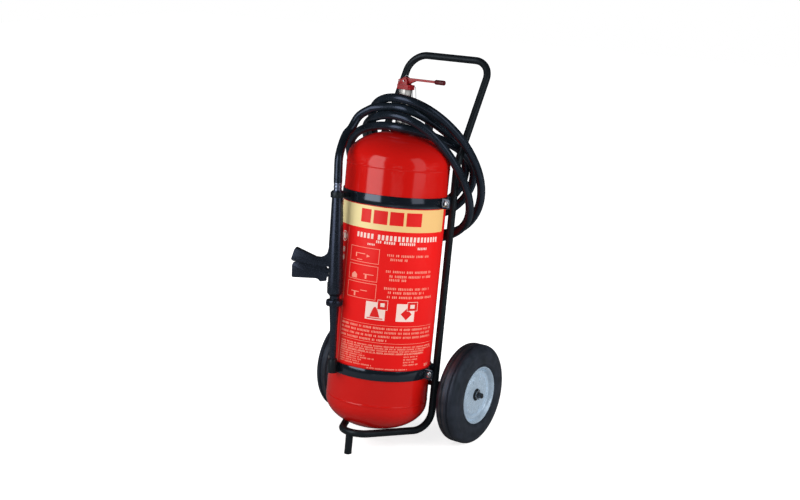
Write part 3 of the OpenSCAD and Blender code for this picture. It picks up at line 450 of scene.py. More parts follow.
def new_tree(name, **inputs):
    """A geometry tree with named inputs and their defaults, and its input node's sockets."""
    kinds = {int: "NodeSocketInt", float: "NodeSocketFloat", bool: "NodeSocketBool"}
    tree = bpy.data.node_groups.new(name, "GeometryNodeTree")
    for way in ("OUTPUT", "INPUT"):
        tree.interface.new_socket("Geometry", in_out=way, socket_type="NodeSocketGeometry")
    for key, value in inputs.items():
        made = tree.interface.new_socket(key.replace("_", " "), in_out="INPUT", socket_type=kinds[type(value)])
        made.default_value = value
    tree.interface.new_socket("Material", in_out="INPUT", socket_type="NodeSocketMaterial")
    return tree, add(tree, "NodeGroupInput").outputs


def end_tree(tree, geometry, given):
    """Every tree ends in Realize Instances and Set Material."""
    real = add(tree, "GeometryNodeRealizeInstances", [geometry])
    dressed = add(tree, "GeometryNodeSetMaterial", {"Geometry": real, "Material": given["Material"]})
    add(tree, "NodeGroupOutput", [dressed])
    return tree


def ring_tree():
    """Copies of the piece evenly round Z, at a radius."""
    tree, given = new_tree("Ring of Copies", Count=8, Radius=0.05, First_Turn=0.0)
    index = add(tree, "GeometryNodeInputIndex")
    step = add(tree, "ShaderNodeMath", [2 * pi, given["Count"]], operation="DIVIDE")
    turn = add(tree, "ShaderNodeMath", [index, step, given["First Turn"]], operation="MULTIPLY_ADD")
    reach = add(tree, "ShaderNodeCombineXYZ", {"X": given["Radius"]})
    place = add(tree, "ShaderNodeVectorRotate", {"Vector": reach, "Angle": turn}, rotation_type="Z_AXIS")
    points = add(tree, "GeometryNodePoints", {"Count": given["Count"], "Position": place})
    rotation = add(tree, "ShaderNodeCombineXYZ", {"Z": turn})
    laid = {"Points": points, "Instance": given["Geometry"], "Rotation": rotation}
    copies = add(tree, "GeometryNodeInstanceOnPoints", laid)
    return end_tree(tree, copies, given)


def tube_tree():
    """A round tube along the piece's curve."""
    tree, given = new_tree("Tube on Path", Radius=0.01, Sides=24, Caps=True)
    round_line = {"Resolution": given["Sides"], "Radius": given["Radius"]}
    circle = add(tree, "GeometryNodeCurvePrimitiveCircle", round_line)
    swept = {"Curve": given["Geometry"], "Profile Curve": circle, "Fill Caps": given["Caps"]}
    return end_tree(tree, add(tree, "GeometryNodeCurveToMesh", swept), given)


def wrap_tree():
    """Small raised bars, one for each point of the piece, wrapped round a cylinder along Z.
    A point's X is its place round the cylinder, Z its height and Y unused."""
    tree, given = new_tree("Bars on Cylinder", Radius=0.15, Thickness=0.0001)
    wide, tall = (add(tree, "GeometryNodeInputNamedAttribute", {"Name": name}) for name in ("wide", "tall"))
    size = add(tree, "ShaderNodeCombineXYZ", [wide, given["Thickness"], tall])
    block = add(tree, "GeometryNodeMeshCube", {"Vertices X": 3})
    laid = {"Points": given["Geometry"], "Instance": block, "Scale": size}
    copies = add(tree, "GeometryNodeInstanceOnPoints", laid)
    real = add(tree, "GeometryNodeRealizeInstances", [copies])
    spot = add(tree, "ShaderNodeSeparateXYZ", [add(tree, "GeometryNodeInputPosition")]).outputs
    turn = add(tree, "ShaderNodeMath", [spot["X"], given["Radius"]], operation="DIVIDE")
    reach = add(tree, "ShaderNodeMath", [spot["Y"], given["Radius"]], operation="SUBTRACT")
    front = add(tree, "ShaderNodeCombineXYZ", {"Y": reach, "Z": spot["Z"]})
    wrapped = add(tree, "ShaderNodeVectorRotate", {"Vector": front, "Angle": turn}, rotation_type="Z_AXIS")
    moved = add(tree, "GeometryNodeSetPosition", {"Geometry": real, "Position": wrapped})
    return end_tree(tree, moved, given)


def grown(piece, make_tree, **values):
    """Runs a geometry tree on the piece and keeps the result as its plain mesh."""
    if make_tree not in TREES:
        TREES[make_tree] = make_tree()
    modifier = piece.modifiers.new("tree", "NODES")
    modifier.node_group = TREES[make_tree]
    sockets = {s.name: s.identifier for s in TREES[make_tree].interface.items_tree if s.in_out == "INPUT"}
    for key, value in values.items():
        modifier[sockets[key.replace("_", " ")]] = value
    mesh, name = plain(piece), piece.name
    bpy.data.objects.remove(piece)
    return link(name, mesh)


def tube(name, points, radius, finish, cyclic=False, sides=32):
    """A closed round tube along points, in metres, made by the tube tree."""
    curve = bpy.data.curves.new(name, "CURVE")
    curve.dimensions = "3D"
    spline = curve.splines.new("POLY")
    spline.points.add(len(points) - 1)
    for place, point in zip(points, spline.points):
        point.co = (*place, 1)
    spline.use_cyclic_u = cyclic
    return merged(name, [grown(
        link(name, curve), tube_tree, Radius=radius, Sides=sides, Caps=not cyclic, Material=FINISH[finish]
    )])


# ---- hose ----

FRONT_UP, FRONT_N = [950.7, 868, 900, 923.4], [-38.4, -48.3, -51, -36.2]
BACK_N, BACK_UP = [243.6, 192.2, 192.7, 180.2], [536.9, 599.1, 526.6, 627.1]
SIDE_REACH = [181.6, 193.2, 127.1, 192.3, 181.2, 187.2, 100.1, 189.5]
SIDE_N = [62.5, 82.3, 132.7, -42.4, 39.1, 53.9, 129.7, -137.6]
SIDE_UP = [-6.2, 19.4, 32, 45.2, -34.5, 21.5, 11.7, 44.8]
COIL_START, COIL_END, LOOP_X = -205, 1110, 1
# The first point only gives the line's direction at the valve
TAIL_POINTS = [
    (0, 0, OUTLET_UP), (0, FERRULE_END, OUTLET_UP), (0, FERRULE_END + HOSE_D, OUTLET_UP), (0, 105, 914),
    (-10, 150, 895), (-30, 195, 850), (-55, 225, 790), (-80, 241, 720), (-100, 244, 650), (-103, 236, 598),
]
LEAD_POINTS = [(-116.5, -54.8, 886.4), (-126.3, -75.1, 849.2), (-125, -103.8, 826.3), (-95.9, -164.6, 775.6)]


def between(values, t, first, pitch):
    """A smooth value between list entries that lie pitch degrees apart from first."""
    k = max(0, min((t - first) / pitch, len(values) - 1.0001))
    i = floor(k)
    f = (k - i) ** 2 * (3 - 2 * (k - i))
    return values[i] * (1 - f) + values[i + 1] * f


def coil_point(t):
    """The coil's middle line at an angle that grows along it, in millimetres of the leaned frame."""
    c, s = cos(radians(t)), sin(radians(t))
    n, u = (
        between(front, t, 0, 360) * (1 + c) / 2 + between(back, t, -180, 360) * (1 - c) / 2
        + between(side, t, -90, 180) * s * s
        for front, back, side in ((FRONT_N, BACK_N, SIDE_N), (FRONT_UP, BACK_UP, SIDE_UP))
    )
    return LOOP_X - between(SIDE_REACH, t, -90, 180) * s, n, u


def smooth_line(q, steps=6):
    """A smooth line from the second of the points to the last but one, with steps between neighbours."""
    line = []
    for a, b, c, d in zip(q, q[1:], q[2:], q[3:]):
        for t in (j / steps for j in range(steps)):
            line.append(0.5 * (
                2 * b + (c - a) * t + (2 * a - 5 * b + 4 * c - d) * t * t + (3 * b - a - 3 * c + d) * t ** 3
            ))
    return line + [q[-2]]


def hose_line():
    """The whole hose's middle line, from the valve's ferrule to the lance's, in metres."""
    tail, lead = ([leaned(*p) for p in points] for points in (TAIL_POINTS, LEAD_POINTS))
    coil = [leaned(*coil_point(t)) for t in range(COIL_START, COIL_END + 1, 5)]
    lance_end, lance_next = (LANCE @ Vector((0, 0, up * MM)) for up in (LANCE_END, LANCE_END + HOSE_D))
    onward = lance_end + (lance_end - lance_next).normalized() * 0.06
    lead = smooth_line([coil[-2], coil[-1], *lead, lance_next, lance_end, onward])
    return smooth_line([*tail, coil[0], coil[2]])[:-1] + coil + lead[1:]


# ---- operators ----


def lay_floor():
    mesh = bpy.data.meshes.new("floor")
    reach = 12
    corners = [(-reach, -reach, 0), (reach, -reach, 0), (reach, reach, 0), (-reach, reach, 0)]
    mesh.from_pydata(corners, [], [(0, 1, 2, 3)])
    sheet = link("floor", mesh)
    material = bpy.data.materials.new("white_paper_floor")
    material.use_nodes = True
    tree = material.node_tree
    tree.nodes.clear()
    # White to the camera, and whiter still away from the object, so that only a soft contact shadow shows.
    # To everything else it is a mid grey, so that the enamel above it keeps its full colour.
    place = add(tree, "ShaderNodeTexCoord").outputs["Object"]
    far = add(tree, "ShaderNodeVectorMath", [place], operation="LENGTH")
    faded = {"Value": far, "From Min": 0.4, "From Max": 1.5, "To Min": 0.66, "To Max": 1.0}
    level = add(tree, "ShaderNodeMapRange", faded)
    paper = add(tree, "ShaderNodeBsdfDiffuse", {"Color": (0.9, 0.9, 0.9, 1)})
    glow = add(tree, "ShaderNodeEmission", {"Strength": level})
    both = add(tree, "ShaderNodeAddShader", [paper, glow])
    grey = add(tree, "ShaderNodeBsdfDiffuse", {"Color": (0.22, 0.22, 0.22, 1)})
    seen = add(tree, "ShaderNodeLightPath").outputs["Is Camera Ray"]
    mix = add(tree, "ShaderNodeMixShader", [seen, grey, both])
    add(tree, "ShaderNodeOutputMaterial", {"Surface": mix})
    mesh.materials.append(material)


def hang_lights(scene):
    world = scene.world = bpy.data.worlds.new("studio")
    world.use_nodes = True
    tree = world.node_tree
    tree.nodes.clear()
    path = add(tree, "ShaderNodeLightPath").outputs
    seen = [path["Is Camera Ray"], path["Is Transmission Ray"]]
    first = add(tree, "ShaderNodeMath", seen, operation="MAXIMUM")
    dim, dark, white = (
        add(tree, "ShaderNodeBackground", {"Color": colour, "Strength": strength})
        for colour, strength in (((0.86, 0.92, 1.0, 1), 0.12), ((0.8, 0.88, 1.0, 1), 0.035), ((1, 1, 1, 1), 1.0))
    )
    room = add(tree, "ShaderNodeMixShader", [path["Is Glossy Ray"], dim, dark])
    mix = add(tree, "ShaderNodeMixShader", [first, room, white])
    add(tree, "ShaderNodeOutputWorld", {"Surface": mix})
    # Two tall softboxes stand either side of the camera, and their reflections are the tank's two pale
    # bands. Fill lamps light the sides and the back evenly and aren't seen in the gloss.
    pale = (1.0, 0.99, 0.98)
    for name, place, size, power, colour, glossy in (
        ("softbox_left", (-0.64, -2.39, 1.85), (1.6, 2.7), 35, (1.0, 0.98, 0.97), True),
        ("softbox_right", (2.395, -0.32, 1.85), (1.15, 2.7), 9.5, (1.0, 0.98, 0.98), True),
        ("fill_left", (-1.72, -1.45, 1.35), (1.2, 1.0), 27, pale, False),
        ("fill_front", (1.65, -2.45, 0.7), (1.2, 1.0), 33, pale, False),
        ("fill_right", (2.0, 0.75, 0.75), (1.2, 1.0), 35, pale, False),
        ("fill_back", (-0.7, 2.4, 1.6), (1.6, 1.6), 16, pale, False),
    ):
        lamp = bpy.data.lights.new(name, "AREA")
        lamp.shape = "RECTANGLE"
        lamp.size, lamp.size_y = size
        lamp.energy, lamp.color = power, colour
        holder = bpy.data.objects.new(name, lamp)
        holder.location = place
        aim = Vector((0, -0.08, place[2]))
        holder.rotation_euler = (aim - Vector(place)).to_track_quat("-Z", "Y").to_euler()
        holder.visible_glossy, holder.visible_camera = glossy, False
        scene.collection.objects.link(holder)


class EXTINGUISHER_OT_stage(bpy.types.Operator):
    """Make the camera, the pale floor and the soft lights"""

    bl_idname = "extinguisher.stage"
    bl_label = "Stage"

    def execute(self, context):
        scene = context.scene
        scene.view_settings.view_transform = "Standard"
        camera = bpy.data.cameras.new("camera")
        camera.sensor_width, camera.clip_end = 36, 50
        camera.lens = FOCAL_LENGTH * camera.sensor_width / IMAGE_WIDTH
        eye = bpy.data.objects.new("camera", camera)
        scene.collection.objects.link(eye)
        forward = CAMERA_AHEAD.normalized()
        right = (CAMERA_RIGHT - forward * CAMERA_RIGHT.dot(forward)).normalized()
        up = right.cross(forward)
        turn = Matrix((right, up, -forward)).transposed().to_4x4()
        eye.matrix_world = Matrix.Translation(CAMERA_PLACE) @ turn
        scene.camera = eye
        lay_floor()
        hang_lights(scene)
        return {"FINISHED"}


class EXTINGUISHER_OT_hose(bpy.types.Operator):
    """Make the discharge hose with its loops"""

    bl_idname = "extinguisher.hose"
    bl_label = "Hose"

    def execute(self, context):
        width = context.scene.extinguisher_sizes.hose_diameter
        line = hose_line()
        hose = tube("hose", line, width / 2, "hose", sides=28)
        finish_piece(hose, "hose", "hose_tail", "hose_coil", "hose_lead")
        return {"FINISHED"}


def dome_line(r, h, base, sign, r_end):
    """Half an ellipse from the wall at base to the radius r_end, or to a point on the axis."""
    last, steps = acos(r_end / r), 30
    line = [(r * cos(last * i / steps), base + sign * h * sin(last * i / steps)) for i in range(steps + 1)]
    return line if r_end else line[:-1] + [(0.0, line[-1][1])]


def seam_bead(z, height):
    """The rounded bead of a weld seam at height z."""
    half, steps = 3.2, 8
    shares = [k / steps for k in range(1 - steps, steps)]
    bead = [(TANK_R + height * cos(pi / 2 * share) ** 1.5, z + half * share) for share in shares]
    # Two plain rings on each side keep the bead's shading off the straight wall
    below, above = ([(TANK_R, z + half * step) for step in pair] for pair in ((-2, -1), (1, 2)))
    return below + bead + above


class EXTINGUISHER_OT_tank(bpy.types.Operator):
    """Make the tank's shell with its weld seams, and the neck boss"""

    bl_idname = "extinguisher.tank"
    bl_label = "Tank"

    def execute(self, context):
        bead = context.scene.extinguisher_sizes.seam_height / MM
        outer = dome_line(TANK_R, DOME_RISE, DOME_LOW, -1, 0)[::-1] + seam_bead(TANK_LOW, bead)
        outer += seam_bead(TANK_HIGH, bead) + dome_line(TANK_R, DOME_RISE, DOME_HIGH, 1, BOSS_R)
        inside = TANK_R - TANK_WALL, DOME_RISE - TANK_WALL
        inner = dome_line(*inside, DOME_HIGH, 1, BOSS_R)[::-1] + dome_line(*inside, DOME_LOW, -1, 0)
        turned("tank", "tank_shell", "enamel", outer + inner, 160, LEANED, 30)
        low, high, bore = TANK_TOP - BOSS_IN, TANK_TOP + BOSS_H, 18.6
        collar = [
            (bore, low), (BOSS_R, low), (BOSS_R, TANK_TOP - 4.5), (BOSS_R + 2.6, TANK_TOP - 4.5),
            (BOSS_R + 2.2, TANK_TOP - 2.2), (BOSS_R, TANK_TOP), (BOSS_R, high - 2.5), (BOSS_R - 2, high),
            (bore, high),
        ]
        turned("boss", "neck_boss", "head_enamel", rounded(collar, 1.2), 72, LEANED)
        return {"FINISHED"}


def patches(name, ink, level, items):
    """One piece of thin printed patches in the ink layer of this level. Each has its first and last angle
    and its low and high edge, as a height or as a function of the angle."""
    bm = bmesh.new()
    ink_height = bpy.context.scene.extinguisher_sizes.print_height / MM
    r0, r1 = LABEL_OUT + ink_height * (level - 1), LABEL_OUT + ink_height * level
    for first, last, *edges in items:
        low, high = (e if callable(e) else (lambda a, e=e: e) for e in edges)
        rows = []
        for a in [first, *range(floor(first) + 1, ceil(last)), last]:
            s, c = sin(radians(a)), -cos(radians(a))
            rows.append([
                bm.verts.new(Vector((r * s, r * c, u)) * MM)
                for r, u in ((r0, low(a)), (r1, low(a)), (r1, high(a)), (r0, high(a)))
            ])
        for a, b in zip(rows, rows[1:]):
            for k in range(4):
                m = (k + 1) % 4
                bm.faces.new((a[k], b[k], b[m], a[m]))
        bm.faces.new(rows[0])
        bm.faces.new(rows[-1][::-1])
    finish_piece(from_bmesh(name, bm, LEANED), ink)


def outline(first, last, low, high, line):
    """Four patches as the frame of a box."""
    side = degrees(line / LABEL_OUT)
    return [
        (first, last, low, low + line), (first, last, high - line, high),
        (first, first + side, low + line, high - line), (last - side, last, low + line, high - line),
    ]


def disc(middle, up, radius):
    """A round patch."""
    half = degrees(radius / LABEL_OUT) * 0.999

    def rise(a):
        return sqrt(max(0.0, radius ** 2 - (radians(a - middle) * LABEL_OUT) ** 2))

    return (middle - half, middle + half, lambda a: up - rise(a), lambda a: up + rise(a))


def print_header():
    """The pale band with four plain blocks as a headline, and the lines under it."""
    patches("label_band", "band", 1, [(LABEL_FIRST + 0.5, 103.5, 579, 644.5)])
    blocks = [(first, last, 596, 635) for first, last in ((-3.2, 9.0), (12, 27.5), (30, 45), (48, 66))]
    patches("label_header_blocks", "ink_red", 2, blocks)
    bars = []
    for first, last, low, high in (
        (-6.5, 15.5, 551.5, 566), (18.8, 93.5, 551.5, 566), (17.4, 23.8, 541.5, 549), (26.3, 39, 541.5, 549),
        (42.9, 61.4, 541.5, 549), (7.7, 16.7, 532.5, 538), (64.2, 76.7, 529.5, 536.5),
    ):
        # Cut into even blocks of a letter's width, so that a bar reads as a line of print
        step = (last - first) / max(1, round((last - first) / degrees((high - low) * 0.82 / LABEL_OUT)))
        count = round((last - first) / step)
        bars += [(first + i * step, first + (i + 0.6) * step, low, high) for i in range(count)]
    patches("label_title_bars", "ink_white", 1, bars)


def print_panels():
    """The margin line, the three instruction panels with plain figures, and the side discs."""
    items = [(-20.9, -20.5, 176, 574)]
    for low, high in ((480, 524), (428, 473), (375.5, 422)):
        items += outline(-13.8, 22.4, low, high, 1.3)
    patches("label_panels", "ink_tint", 1, items + [
        (-6, 6, 504, 506), (-6, -4.5, 494, 504), (8, 12, lambda a: 488 + a, lambda a: 512 - a),
        (-4, 3, 486, 488), (-9, -2, 432, lambda a: 450 - 2.2 * abs(a + 5.5)), (6, 18, 446, 448),
        (8, 10, 434, 446), (-8, 2, 392, 394), (4, 12, 398, 400), (-4, -2, 380, 392),
    ])
    discs = ((-28.4, 543, 15.5, 12.8, 9.6), (-28.2, 504, 8, 6, 4.2), (-28, 481, 8, 6, 4.2))
    layers = (("side_discs", "ink_white"), ("disc_rings", "ink_red"), ("disc_centres", "ink_white"))
    for i, (name, ink) in enumerate(layers):
        patches("label_" + name, ink, i + 1, [disc(middle, up, radii[i]) for middle, up, *radii in discs])


def print_squares():
    """Two pale squares with plain shapes, each with an outlined corner tab."""
    patches("label_squares", "ink_white", 1, [(12.3, 34.2, 319, 371), (46.4, 67.9, 319, 371)])

    def flame(a):
        return 327.3 + 30 * max(0.0, 1 - ((a - 23) / 5.5) ** 2) ** 1.2

    def half(a):
        return 17 * (1 - abs(a - 58) / 6.5) + 0.2

    diamond = (51.5, 64.5, lambda a: 341 - half(a), lambda a: 341 + half(a))
    tabs = [(25.1, 36.5, 350, 379), (58.4, 71.4, 350, 377)]
    figures = [(17.5, 28.5, 327, flame), diamond, (14.5, 32, 322, 325)]
    patches("label_square_figures", "ink_red", 2, figures + tabs)
    edges = outline(*tabs[0], 1.2) + outline(*tabs[1], 1.2)
    patches("label_tabs", "ink_white", 3, edges + [(28.5, 33, 359, 370), (62, 67.5, 358, 369)])


def print_ticks():
    """Lines of tiny ticks in words of a few, wrapped round the tank by the bar tree."""
    rng = random.Random(7)
    ink_height = bpy.context.scene.extinguisher_sizes.print_height
    # Blocks of print: the height and pitch of their ticks, then each line's place, first and last angle
    blocks = [
        (7.2, 5.2, ((510, 31.4, 80), (498, 35.3, 54.5), (463.5, 31.6, 85.8), (450, 36, 89.3), (439.5, 36, 54.5),
                    (414, 31.4, 86.4), (402.5, 35.8, 78.6), (389.5, 35.2, 91.7))),
    ]
    # The same, with one first angle for the whole block
    blocks += [(height, pitch, [(up, first, last) for up, last in lines]) for height, pitch, first, lines in (
        (6.6, 4.4, -17.5, ((295.5, 97.5), (284, 97.5), (272, 98), (260.5, 38))),
        (4.6, 3.4, -16, ((243, 101), (236.5, 101), (230, 88), (223.5, 88))),
        (4.2, 3.2, -16.5, ((216, 12), (209.5, 16), (203, 27), (196.5, 13), (190, 10), (183.5, 24))),
        (4.4, 3.2, 60.2, ((222, 88), (214, 79), (206, 78), (198, 74), (190, 80))),
        (4, 3.2, 20, ((176.5, 66),)), (9, 2.4, 92, ((184, 101),)),
    )]
    spots, wide, tall = [], [], []
    for height, pitch, (up, first, last) in ((*block[:2], line) for block in blocks for line in block[2]):
        place, end = radians(first) * LABEL_OUT, radians(last) * LABEL_OUT
        word = rng.randint(2, 8)
        while place < end:
            if word == 0:
                place += pitch * 0.9
                word = rng.randint(2, 9)
                continue
            spots.append((place * MM, 0, (up + rng.uniform(-0.2, 0.2)) * MM))
            wide.append(pitch * rng.uniform(0.42, 0.66) * MM)
            tall.append(height * rng.uniform(0.82, 1.0) * MM)
            place += pitch
            word -= 1
    mesh = bpy.data.meshes.new("label_fine_print_points")
    mesh.from_pydata(spots, [], [])
    mesh.attributes.new("wide", "FLOAT", "POINT").data.foreach_set("value", wide)
    mesh.attributes.new("tall", "FLOAT", "POINT").data.foreach_set("value", tall)
    piece = grown(
        link("label_fine_print", mesh), wrap_tree,
        Radius=LABEL_OUT * MM + ink_height / 2, Thickness=ink_height, Material=FINISH["ink_tint"],
    )
    piece.data.transform(LEANED)
    finish_piece(piece, "ink_tint")
    rules = [(-18, 99, 304, 304.9), (-15.5, 102, 252.2, 253.1), (-17, 58, 220.5, 221.2)]
    patches("label_rules", "ink_tint", 1, rules)


class EXTINGUISHER_OT_label(bpy.types.Operator):
    """Make the film label and its generic print"""

    bl_idname = "extinguisher.label"
    bl_label = "Label"

    def execute(self, context):
        inner, turn = LABEL_OUT - 0.4, LABEL_LAST - LABEL_FIRST
        edge = [(inner, LABEL_LOW), (LABEL_OUT, LABEL_LOW), (LABEL_OUT, LABEL_HIGH), (inner, LABEL_HIGH)]
        film = lathe("label", rounded(edge, 0.1, 2), turn, LEANED, LABEL_FIRST - 90, turn)
        finish_piece(film, "film", "label_sheet")
        print_header()
        print_panels()
        print_squares()
        print_ticks()
        return {"FINISHED"}


def blacken_washers(bolts):
    """The washers under the bolt heads were painted with the straps."""
    bolts.data.materials.append(FINISH["coat"])
    back = LEANED.inverted()
    for face in bolts.data.polygons:
        x, _, u = back @ face.center / MM
        height = u - (STRAP_LOW if u < (STRAP_LOW + STRAP_HIGH) / 2 else STRAP_HIGH)
        if hypot(abs(x) - BOLT_X, height) > WASHER_FROM:
            face.material_index = 1


def arc(centre, a, b, start, turn, steps):
    """Points round a centre in the plane of unit vectors a and b."""
    angles = [radians(start + turn * i / steps) for i in range(steps + 1)]
    return [centre + a * cos(q) + b * sin(q) for q in angles]


def frame_loop():
    """The middle line of the whole frame: one closed loop through base, legs and handle."""
    splay, lean = radians(ARM_SPLAY), radians(BOW_LEAN)
    arm = LEG_X * cos(splay) - LEG_BACK * sin(splay)
    apex = (APEX_R - arm) / sin(splay)
    # q closes in on the angle at which the arm touches the dome's ellipse
    seat, q = TUBE_R + SEAT_GAP, radians(30)
    for _ in range(9):
        norm = hypot(DOME_RISE * sin(q), TANK_R * cos(q))
        base = DOME_LOW - DOME_RISE * cos(q) - seat * TANK_R * cos(q) / norm
        q = asin((arm - seat * DOME_RISE * sin(q) / norm) / TANK_R)
    x, y, z = Matrix.Identity(3)
    ahead = Vector((-sin(splay), -cos(splay), 0))
    half = arc(Vector((0, apex, base)), x * APEX_R, y * APEX_R, -90, 90 - ARM_SPLAY, 14)
    corner = Vector((LEG_X, LEG_BACK, base)) + (ahead + z) * LEG_BEND
    half += arc(corner, -ahead * LEG_BEND, z * LEG_BEND, -90, 90, 20)
    bend = Vector((LEG_X, LEG_BACK + LEG_BEND, BOW_START - LEG_BEND * tan(lean / 2)))
    half += arc(bend, y * LEG_BEND, z * LEG_BEND, 180, -BOW_LEAN, 8)
    rise = Vector((0, sin(lean), cos(lean)))
    top = Vector((LEG_X - BOW_CORNER, LEG_BACK, BOW_START)) + rise * (BOW_LEN - BOW_CORNER)
    half += arc(top, x * BOW_CORNER, rise * BOW_CORNER, 0, 90, 20)
    return [leaned(*p) for p in half] + [leaned(-p.x, p.y, p.z) for p in reversed(half[1:])]


class EXTINGUISHER_OT_trolley(bpy.types.Operator):
    """Make the trolley's bent tube, its peg and its straps"""

    bl_idname = "extinguisher.trolley"
    bl_label = "Trolley"

    def execute(self, context):
        frame_tube = tube("frame_tube", frame_loop(), TUBE_R * MM, "coat", cyclic=True, sides=36)
        tubes = ("leg_left", "leg_right", "handle_bow", "base_arm_left", "base_arm_right")
        finish_piece(frame_tube, "coat", *tubes)
        for node in ("front_strap_low", "front_strap_high", "rear_strap_low", "rear_strap_high"):
            softened(node + "_steel", node, "strap", 0.5)
        for side in ("left", "right"):
            softened("bracket_plate_" + side, "axle_bracket_" + side, "coat", 0.8)
        softened("peg", "foot_peg", "coat", 1.2)
        blacken_washers(softened("strap_bolts_zinc", "strap_bolts", "zinc", 0.4))
        softened("strap_nuts_zinc", "strap_nuts", "zinc", 0.4)
        return {"FINISHED"}


def tyre_profile():
    """One side's bead, wall and shoulder, given from the rim's edge or from the tread, and four grooves."""
    half, bead = TYRE_W / 2, RIM_R - 3.7
    wall = ((0.5, 5), (3, 2.6), (6, 1.2), (7, 1.9), (9, 0.9), (16, 0.2), (24, 0))
    shoulder = (
        (30, 0.4), (26, 1.6), (24.6, 1.6), (22, 1.6), (16, 3.1), (11, 5.2), (7, 7.6), (4, 10.3), (2.2, 12.8),
        (1, 16), (0.25, 19),
    )
    side = [(bead, half - 10)] + [(RIM_R + r, half - z) for r, z in wall]
    side += [(TYRE_R - r, half - z) for r, z in shoulder]
    tread = [(TYRE_R, half - 20.4)]
    groove = ((0, 1.5), (0.5, 0.9), (2.4, 0.6), (2.4, -0.6), (0.5, -0.9), (0, -1.5))
    for middle in (13.2, 9.6, -9.6, -13.2):
        tread += [(TYRE_R - depth, middle + z) for depth, z in groove]
    tread.append((TYRE_R, 20.4 - half))
    return side + tread + [(r, -z) for r, z in reversed(side)]


def make_rim(name, matrix, marks):
    """A pressed rim: a well between two beads, a dished plate and a ring of long low marks."""
    half, bead = TYRE_W / 2, RIM_R - 3.7 - SEAT_GAP
    dish, t = half - 19, 2.5
    plate = dish + 4
    edge = [
        (bead, 9 - half), (RIM_R, 4 - half), (RIM_R, 2 - half), (RIM_R - 2, 2 - half), (bead - t, 8 - half),
        (bead - t, dish), (67, dish), (61, plate), (HUB_R + 0.05, plate), (HUB_R + 0.05, plate + t),
        (60, plate + t), (66, dish + t), (75, dish + t + 1),
        (bead - t - 2, half - 8), (RIM_R - 3, half - 2.5), (RIM_R - 1.5, half - 2), (RIM_R, half - 3),
        (RIM_R, half - 4), (bead, half - 9),
    ]
    shell = lathe(name, rounded(edge, 3.0, 4), 144)
    # One pressed mark: a long low pillow with round ends
    mark = pillow(name + "_marks", 20, 10, (3.6, 3.5, 1.45), 5.6, plate + t)
    ring = grown(mark, ring_tree, Count=marks, Radius=48 * MM, First_Turn=pi / marks, Material=FINISH["rim"])
    return merged(name, [shell, ring], matrix)


def hub_profile():
    """A sleeve round the axle with a stepped outer end."""
    out, back, bore = TYRE_W / 2 - 8.5, 7 - TYRE_W / 2, AXLE_R + 0.05
    return rounded([
        (bore, back), (HUB_R, back), (HUB_R, out - 3), (HUB_R - 2.5, out - 1), (13, out - 1), (12.5, out),
        (bore, out),
    ], 0.8)


class EXTINGUISHER_OT_wheels(bpy.types.Operator):
    """Make the tyres, rims and hubs, and finish the axle's parts"""

    bl_idname = "extinguisher.wheels"
    bl_label = "Wheels"

    def execute(self, context):
        marks = context.scene.extinguisher_sizes.rim_marks
        for side, sign in (("left", -1), ("right", 1)):
            place = Matrix.Translation(Vector((sign * WHEEL_X, AXLE_Y, AXLE_Z)) * MM)
            matrix = place @ Matrix.Rotation(sign * pi / 2, 4, "Y")
            turned("tyre_rubber_" + side, "tyre_" + side, "tyre", tyre_profile(), 144, matrix, 28)
            rim = make_rim("rim_steel_" + side, matrix, marks)
            finish_piece(rim, "rim", "rim_" + side, angle=30)
            turned("hub_steel_" + side, "hub_" + side, "coat", hub_profile(), 64, matrix)
        softened("axle_steel", "axle_rod", "axle", 0.4)
        softened("spacers", "axle_spacers", "coat", 0.3)
        softened("washers", "axle_washers", "zinc", 0.3)
        softened("split_pins_zinc", "split_pins", "zinc", 0.2)
        return {"FINISHED"}


class EXTINGUISHER_OT_valve(bpy.types.Operator):
    """Make the valve with its head and lever"""

    bl_idname = "extinguisher.valve"
    bl_label = "Valve"

    def execute(self, context):
        for row in (
            ("valve_brass", "valve_body", "nickel", 0.7), ("bonnet_brass", "bonnet_nut", "nickel", 1.0),
            ("head_casting", "valve_head", "head_enamel", 1.0, 3),
            ("lever_casting", "lever_arm", "head_enamel", 1.2, 3),
            ("lever_sleeve", "lever_grip", "grip", 0.8), ("outlet_brass", "outlet_nut", "nickel", 0.8),
        ):
            softened(*row)
        return {"FINISHED"}


def make_coupling(name, knurls, bore):
    """The coupling ring with its round ribs."""
    edge = [
        (bore, -RING_H), (RING_R - 3.5, -RING_H), (RING_R - 1.2, 2 - RING_H), (RING_R - 1.2, -2),
        (RING_R - 3.5, 0), (bore, 0),
    ]
    core = lathe(name, rounded(edge, 0.8, 2), 96)
    rib = pillow(name + "_ribs", 10, 8, (1.6, 1.3, 6.8), 0, -RING_H / 2)
    ribs = grown(rib, ring_tree, Count=knurls, Radius=(RING_R - 1.65) * MM, Material=FINISH["nylon"])
    finish_piece(merged(name, [core, ribs], LANCE), "nylon", "coupling_ring")


